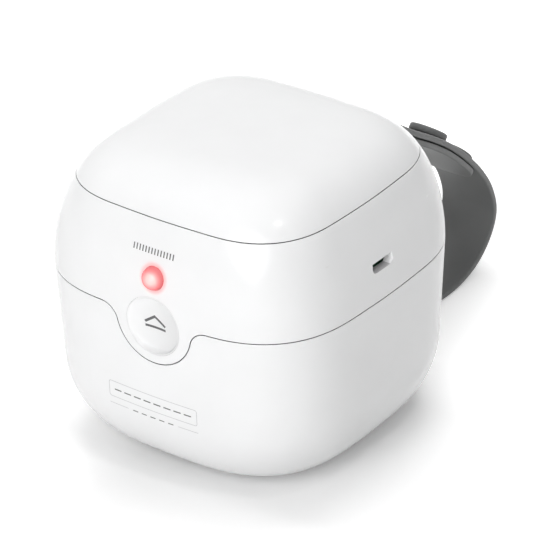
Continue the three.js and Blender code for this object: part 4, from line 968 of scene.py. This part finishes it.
# Strap: the outer face of the outer layer, as shares of its reach behind the casing and of its height
strap = {
    "width": 15.0, "thickness": 1.4, "edge": 0.42, "reach": 50.67, "topZ": 63.2, "lift": 0.35,
    "tongueDepth": 1.7, "tongueFrom": 0.06, "tongueTo": 0.418, "tongueCorner": 5.2, "freeCorner": 3.4,
    "studs": (0.2905, 0.3955), "headRadius": 4.6, "headHeights": (1.6, 1.4), "headRoll": 0.42,
    "headEdge": 0.25, "stemRadius": 1.6, "stemDepth": 0.7, "play": 0.3, "gap": 0.3, "anchorHalf": 9.5,
    "anchorTall": 2.8, "anchorThickness": 1.2,
    "anchorInside": 4.6, "bendY": 0.0378, "bendFrom": 0.0585, "bendTo": 0.0125,
    "route": [(-0.036, 1), (0.08, 0.934), (0.205, 0.858), (0.346, 0.781), (0.49, 0.708), (0.632, 0.626),
              (0.777, 0.521), (0.883, 0.427), (0.959, 0.334), (0.997, 0.236), (0.984, 0.172), (0.93, 0.104),
              (0.842, 0.047), (0.73, 0.013), (0.6, 0), (0.45, 0.009), (0.3, 0.033), (0.15, 0.078),
              (0.03, 0.129), (-0.05, 0.149), (-0.148, 0.151)],
}


# A smooth curve through the route's points, with even steps along it
def strapLine(steps=900):
    points = np.array([(casing["half"] + strap["reach"] * a, blendValue(strap["lift"], strap["topZ"], b))
                       for a, b in strap["route"]])
    points = np.concatenate([[2 * points[0] - points[1]], points, [2 * points[-1] - points[-2]]])
    line = []
    for i in range(1, len(points) - 2):
        p = points[i - 1:i + 3]
        t = np.concatenate([[0], np.cumsum(np.linalg.norm(np.diff(p, axis=0), axis=1) ** 0.5)])
        for s in np.linspace(t[1], t[2], 40, endpoint=False):
            a = [blendValue(p[k], p[k + 1], (s - t[k]) / (t[k + 1] - t[k])) for k in range(3)]
            b = [blendValue(a[k], a[k + 1], (s - t[k]) / (t[k + 2] - t[k])) for k in range(2)]
            line.append(blendValue(*b, (s - t[1]) / (t[2] - t[1])))
    line = np.array([*line, points[-2]])
    run = np.concatenate([[0], np.cumsum(np.linalg.norm(np.diff(line, axis=0), axis=1))])
    even = np.linspace(0, run[-1], steps + 1)
    return np.stack([np.interp(even, run, line[:, i]) for i in range(2)], axis=1)


strapRoute = strapLine()
strapAlong = unit(np.gradient(strapRoute, axis=0))


# A place on the strap, in metres: how far along it as a share, and how deep under its outer face
def strapPlace(share, depth):
    index = np.linspace(0, 1, len(strapRoute))
    y, z, alongY, alongZ = (np.interp(share, index, values) for values in (*strapRoute.T, *strapAlong.T))
    return np.array([0.0, y + alongZ * depth, z - alongY * depth]) * mm


def anchorBox(y0, y1, z0, z1):
    half = strap["anchorHalf"] * mm
    return prism("x", rectangle(y0 * mm, y1 * mm, z0 * mm, z1 * mm), -half, half)


# A turned piece square to the strap: profile of (radius, depth) in millimetres
def studTurned(share, profile, sides=72):
    centre = strapPlace(share, 0)
    inward, aside = unit(strapPlace(share, 1) - centre), np.array([1.0, 0, 0])
    turns = wholeTurn(sides)
    circle = np.outer(np.cos(turns), aside) + np.outer(np.sin(turns), np.cross(inward, aside))
    rings = [centre + inward * depth * mm + radius * mm * circle for radius, depth in profile]
    return faceOutwards(gridMesh("stud", rings))


def finishStrap(name, mesh, crease=35.0):
    shadeSmooth(mesh, crease)
    mesh.materials.clear()
    mesh.materials.append(finish["greySilicone"])
    piece = linkObject(name, mesh)
    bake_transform(piece)
    return piece


def makeStrap():
    tree = stripTree()
    middle, deep, thick = strap["thickness"] / 2, strap["tongueDepth"], strap["anchorThickness"]
    play = strap["play"]
    sizes = {"Width": strap["width"] * mm, "Thickness": strap["thickness"] * mm,
             "Edge radius": strap["edge"] * mm, "Material": finish["greySilicone"]}
    outer = runTree("band", lineMesh([strapPlace(s, middle) for s in np.linspace(0, 1, 261)]), tree, {
        **sizes, "Start corner": strap["freeCorner"] * mm, "End corner": 0.0})
    anchorZ = strapSlots["lowerZ"] - middle
    anchorY = float(lowerHalf(strapSlots["lowerZ"])) - strap["anchorInside"] - thick
    steps = [("+", anchorBox(anchorY, anchorY + thick, anchorZ, anchorZ + strap["anchorTall"]))]
    hole = [(strap["stemRadius"] + play, -2), (strap["stemRadius"] + play, strap["thickness"] + 0.12)]
    steps += [("-", studTurned(share, hole, 40)) for share in strap["studs"]]
    band = finishStrap("strap_outer", combine(outer, steps))
    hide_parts("strap_band")
    # the tongue leaves the lid straight and bends over to lie under the band
    upper, first = strapSlots["upperZ"], strap["tongueFrom"]
    wallY = float(halfAt(upper, casing["wall"])) - casing["wall"]
    exitY = float(halfAt(upper)) + play
    start, end = np.array([0, exitY, upper]), strapPlace(first, middle + deep) / mm
    reach = np.linalg.norm(end - start)
    onward = reach * unit(strapPlace(first + 0.002, middle + deep) / mm - end)
    s = np.linspace(0, 1, 9)[1:-1, None]
    curve = ((2 * s ** 3 - 3 * s ** 2 + 1) * start + (s ** 3 - 2 * s ** 2 + s) * reach * np.array([0, 1, 0])
             + (3 * s ** 2 - 2 * s ** 3) * end + (s ** 3 - s ** 2) * onward)
    route = [np.array(p) * mm for p in ((0, wallY, upper), (0, (wallY + exitY) / 2, upper), start, *curve)]
    route += [strapPlace(share, middle + deep) for share in np.linspace(first, strap["tongueTo"], 96)]
    inner = runTree("tongue", lineMesh(route), tree, {
        **sizes, "Start corner": 0.0, "End corner": strap["tongueCorner"] * mm})
    anchor = anchorBox(wallY - thick, wallY + 0.02, upper - strap["anchorTall"] / 2, upper + middle)
    tongue = finishStrap("strap_inner", combine(inner, [("+", anchor)]))
    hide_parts("strap_tongue")
    under, roll, head, stem = -strap["gap"], strap["headRoll"], strap["headRadius"], strap["stemRadius"]
    edge = strap["headEdge"]
    for number, (place, height) in enumerate(zip(strap["studs"], strap["headHeights"]), 1):
        top = under - height
        profile = [(pole, top - 0.1), (head * 0.5, top - 0.06), (head - roll * 1.6, top)]
        profile += [(head - roll + roll * np.sin(a), top + roll - roll * np.cos(a))
                    for a in np.linspace(0.3, quarterTurn, 6)]
        profile += [(head, under - edge), (head - edge, under), (stem + play, under), (stem, under + play),
                    (stem, deep + strap["stemDepth"]), (pole, deep + strap["stemDepth"])]
        stud = finishStrap("strap_stud_%d" % number, studTurned(place, profile), 50)
        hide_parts("strap_tongue")
    return band, tongue


strapPieces = makeStrap()
print("strap made:", [len(p.data.polygons) for p in strapPieces])

# Chamber cup, gasket and foot
cup = {
    "half": 30.1, "wall": 1.2, "centreY": 1.6, "underZ": 8.5, "round": 9.0, "flatShare": 0.64,
    "draftShare": 0.06, "flangeTopZ": 42.0, "flange": 1.1, "flangeHalf": 35.2, "share": 0.656,
    "bayHalf": 11.5, "bayFront": -40, "flangeLap": 0.3, "cutZ": (38, 45), "postRadius": 2.5,
    "postFootZ": 5.375, "roll": 0.5,
}


def cupHalf(z, inset=0.0):
    top, flat = cup["half"] - inset, cup["half"] * cup["flatShare"] - inset
    draft = top * cup["draftShare"]
    share = np.clip((z - cup["underZ"] - inset) / (cup["round"] - inset), 0, 1)
    rise = (top - flat - draft) * np.sqrt(1 - (1 - share) ** 2)
    return flat + rise + draft * (z - cup["underZ"]) / (cup["flangeTopZ"] - cup["underZ"])


def makeCup():
    low, high, wall, roll, tall = cup["underZ"], cup["flangeTopZ"], cup["wall"], cup["roll"], cup["round"]
    outside = [*(low + tall * risingSteps(12)), *np.linspace(low + tall, high - cup["flange"], 6)[1:], high]
    rows = [(z, cupHalf(z)) for z in outside]
    mouth = cupHalf(high, wall) + roll
    rows += [(high - roll * (1 - np.cos(a)), mouth - roll * np.sin(a)) for a in quarterSteps(6)]
    rounded = low + wall + (tall - wall) * risingSteps(18)[-2::-1]
    inside = [*np.linspace(high - roll, low + tall, 8)[1:], *rounded]
    rows += [(z, cupHalf(z, wall)) for z in inside]
    body = gridMesh("cup", [plainRing(*row, cup["share"], cup["centreY"]) for row in rows])
    model = body.copy()
    outline, hole = ([(p[0], p[1]) for p in ring] for ring in (
        plainRing(0, cup["flangeHalf"], cup["share"]),
        plainRing(0, cupHalf(high) - cup["flangeLap"], cup["share"], cup["centreY"])))
    front = cup["centreY"] - cup["half"] - 0.001
    bay = rectangle(-cup["bayHalf"], cup["bayHalf"], cup["bayFront"], front)
    cuts = [("-", prism("z", shape, *cup["cutZ"])) for shape in (hole, bay)]
    flange = combine(prism("z", outline, high - cup["flange"], high), cuts)
    steps = [("+", flange)]
    for place in fourCorners(foot["screwPlace"], foot["screwPlace"], cup["centreY"]):
        steps += [("+", rod("z", place, cup["postRadius"], cup["postFootZ"], low + wall / 2)),
                  ("-", rod("z", place, foot["shank"], 3, low, 32))]
    piece = addPiece("chamber_liner", combine(body, steps), "polishedLiner", "base", model)
    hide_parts("chamber_cup")


seal = {"half": 29.5, "width": 1.4, "height": 1.1, "z": 42.3}


def makeGasket():
    rings = []
    for a in wholeTurn(20):
        blunt = (abs(np.cos(a)) ** 3 + abs(np.sin(a)) ** 3) ** (-1 / 3)
        half = seal["half"] + seal["width"] / 2 * blunt * np.cos(a)
        z = seal["z"] + seal["height"] / 2 * (1 + blunt * np.sin(a))
        rings.append(plainRing(z, half, cup["share"], cup["centreY"]))
    ring = gridMesh("gasket", rings, ringsClose=True)
    piece = addPiece("lid_seal", ring, "paleSilicone", "lid", ring.copy())
    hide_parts("lid_gasket")


def makeFoot():
    half, roll, tall, edge = foot["half"], foot["roll"], foot["thickness"], foot["topRoll"]
    rows = [(0, pole), (0, half * 0.5), (0, half - roll)]
    rows += [(roll - roll * np.cos(a), half - roll + roll * np.sin(a)) for a in quarterSteps(7)[1:]]
    rows += [(tall - edge, half), (tall, half - edge), (tall, pole)]
    pad = gridMesh("foot", [plainRing(*row, casing["bottomShare"]) for row in rows])
    piece = addPiece("foot_cushion", pad, "paleSilicone", "base", pad.copy())
    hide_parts("foot_pad")


makeCup()
makeGasket()
makeFoot()
print("chamber, seal and foot made")

# Marks printed on the front. One tree repeats a flat mark along a row and lays it on a surface.
ink = {"proud": 0.012, "sunk": 0.03, "rayFromY": -0.06, "rayLength": 0.1}


def markTree():
    tree, given, wanted = geometryTree("markRow", {
        "Count": "Int", "Spacing": "Float", "Surface": "Object", "Material": "Material"})
    steps = maths(tree, "SUBTRACT", given["Count"], 1.0)
    first = maths(tree, "MULTIPLY", maths(tree, "MULTIPLY", steps, given["Spacing"]), -0.5)
    row = addNode(tree, "GeometryNodeMeshLine", {
        "Count": given["Count"], "Start Location": addNode(tree, "ShaderNodeCombineXYZ", {"X": first}),
        "Offset": addNode(tree, "ShaderNodeCombineXYZ", {"X": given["Spacing"]})}, mode="OFFSET")
    copies = addNode(tree, "GeometryNodeInstanceOnPoints", {"Points": row, "Instance": given["Geometry"]})
    solid = addNode(tree, "GeometryNodeRealizeInstances", {"Geometry": copies})
    shell = addNode(tree, "GeometryNodeObjectInfo", {"Object": given["Surface"]})
    x, y, z = separated(tree, addNode(tree, "GeometryNodeInputPosition"))
    before = addNode(tree, "ShaderNodeCombineXYZ", {"X": x, "Y": ink["rayFromY"], "Z": z})
    ray = addNode(tree, "GeometryNodeRaycast", {
        "Target Geometry": shell.outputs["Geometry"], "Source Position": before, "Ray Direction": (0, 1, 0),
        "Ray Length": ink["rayLength"]})
    hitY = separated(tree, ray.outputs["Hit Position"])["Y"]
    laid = addNode(tree, "GeometryNodeSetPosition", {
        "Geometry": solid, "Offset": addNode(tree, "ShaderNodeCombineXYZ", {"Y": hitY})})
    return closeTree(tree, given, wanted, laid)


def leftOf(ways):
    return np.stack([-ways[:, 1], ways[:, 0]], axis=1)


# A stroke of ink in the front view: (x, z) points in millimetres, joined with mitres
def stroke(points, width, closed=False, spacing=0.6):
    dense = []
    for a, b in zip(points, points[1:] + points[:1] if closed else points[1:]):
        a, b = np.array(a, float), np.array(b, float)
        count = max(1, int(np.ceil(np.linalg.norm(b - a) / spacing)))
        dense += [a + (b - a) * k / count for k in range(count)]
    if not closed:
        dense.append(np.array(points[-1], float))
    dense = np.array(dense)
    before = np.roll(dense, 1, axis=0) if closed else np.concatenate([dense[:1], dense[:-1]])
    after = np.roll(dense, -1, axis=0) if closed else np.concatenate([dense[1:], dense[-1:]])
    into, out = dense - before, after - dense
    into = unit(np.where(into.any(axis=1)[:, None], into, out))
    out = unit(np.where(out.any(axis=1)[:, None], out, into))
    side = unit(leftOf(into + out))
    reach = width / 2 / np.maximum(np.abs(np.einsum("ij,ij->i", side, leftOf(into))), 0.3)
    near, deep, count = -ink["proud"], ink["sunk"], len(dense)
    verts, faces = [], []
    for l, r in zip(dense + side * reach[:, None], dense - side * reach[:, None]):
        verts += [(l[0], near, l[1]), (r[0], near, r[1]), (r[0], deep, r[1]), (l[0], deep, l[1])]
    for i in range(count if closed else count - 1):
        a, b = 4 * i, 4 * ((i + 1) % count)
        faces += [(a + k, a + (k + 1) % 4, b + (k + 1) % 4, b + k) for k in range(4)]
    if not closed:
        faces += [(0, 3, 2, 1), tuple(4 * (count - 1) + k for k in range(4))]
    return verts, faces


def inkMesh(strokes):
    verts, faces = [], []
    for strokeVerts, strokeFaces in strokes:
        faces += [tuple(i + len(verts) for i in f) for f in strokeFaces]
        verts += [tuple(mm * c for c in v) for v in strokeVerts]
    return faceOutwards(meshFrom("ink", verts, faces))


def roundedFrame(halfX, lowZ, highZ, radius):
    points = []
    for cx, cz, first in ((halfX, highZ, 0), (-halfX, highZ, 1), (-halfX, lowZ, 2), (halfX, lowZ, 3)):
        x, z = cx - np.sign(cx) * radius, cz - radius if cz == highZ else cz + radius
        points += [(x + radius * np.cos(a), z + radius * np.sin(a))
                   for a in np.linspace(first * quarterTurn, (first + 1) * quarterTurn, 5)]
    return points


marks = {
    "tickCount": 14, "tickSpacing": 0.8, "tickX": 0.5, "tickZ": (57.05, 58.35), "tickWidth": 0.3,
    "frameHalf": 11.9, "frameZ": (18.8, 22.7), "frameRound": 0.5, "line": 0.13,
    "front_dashes": {"count": 8, "spacing": 2.7, "half": 0.95, "z": 20.75, "width": 0.3},
    "front_dots": {"count": 5, "spacing": 2.4, "half": 0.7, "z": 17.0, "width": 0.26},
    "ruleZ": 17.0, "rule": (6.8, 12.0),
    "openWidth": 0.6, "openHalf": 2.7, "openRise": 1.9, "openBar": 0.95, "openZ": 40.75, "openStep": 0.4,
}


def makeMarks():
    tree = markTree()

    def mark(name, strokes, surface, look, body, count=1, spacing=0.0):
        laid = runTree(name, inkMesh(strokes), tree, {
            "Count": count, "Spacing": spacing * mm, "Surface": surface, "Material": finish[look]})
        laid.transform(Matrix.Scale(1 / mm, 4))
        addPiece(name, laid, look, body)

    x, line, ruleZ = marks["tickX"], marks["line"], marks["ruleZ"]
    tick = stroke([(x, z) for z in marks["tickZ"]], marks["tickWidth"])
    mark("tick_row", [tick], lidCasing, "greyInk", "lid", marks["tickCount"], marks["tickSpacing"])
    border = roundedFrame(marks["frameHalf"], *marks["frameZ"], marks["frameRound"])
    rules = [stroke([(side * x, ruleZ) for x in marks["rule"]], line) for side in (1, -1)]
    mark("front_frame", [stroke(border, line, closed=True), *rules], baseCasing, "paleInk", "base")
    for name in ("front_dashes", "front_dots"):
        row = marks[name]
        dash = stroke([(side * row["half"], row["z"]) for side in (-1, 1)], row["width"])
        mark(name, [dash], baseCasing, "paleInk", "base", row["count"], row["spacing"])
    z, low = marks["openZ"], marks["openZ"] - marks["openBar"]
    left, right = dip["x"] - marks["openHalf"], dip["x"] + marks["openHalf"]
    lines = [(left, z), (dip["x"], z + marks["openRise"]), (right, z)], [(left, low), (right, low)]
    symbol = [stroke(points, marks["openWidth"], spacing=marks["openStep"]) for points in lines]
    mark("open_symbol", symbol, openCap, "greyInk", "open_button")


makeMarks()
print("marks laid on the front")


def numbered(name, count):
    return ["%s_%d" % (name, i + 1) for i in range(count)]


# Finishes of the nodes that keep their shape
nodeLooks = {
    "brushedSteel": ["latch_catch", "sensor_magnet", "hinge_pin", "usb_port", "latch_pin", "latch_spring",
                     *numbered("base_screw", 4), *numbered("lid_screw", 4), *numbered("board_screw", 2)],
    "innerWhite": ["lamp_plate", "battery_tray", "latch_cover", "latch_lever"],
    "quartzPane": ["quartz_window"],
    "blackPlastic": ["lamp_spacer", "lid_sensor", "tact_switch"],
    "lampBoard": ["uvc_lamp_board"],
    "emitterGold": numbered("uvc_led", 4),
    "greenBoard": ["main_board", "button_board"],
    "cellPouch": ["battery"],
    "litRed": ["status_led"],
    "leadSheath": ["lamp_lead", "battery_lead", "button_lead"],
}
for look, names in nodeLooks.items():
    for name in names:
        for slot in nodes[name].material_slots:
            slot.link = "OBJECT"
            slot.material = finish[look]
print("node finishes set")
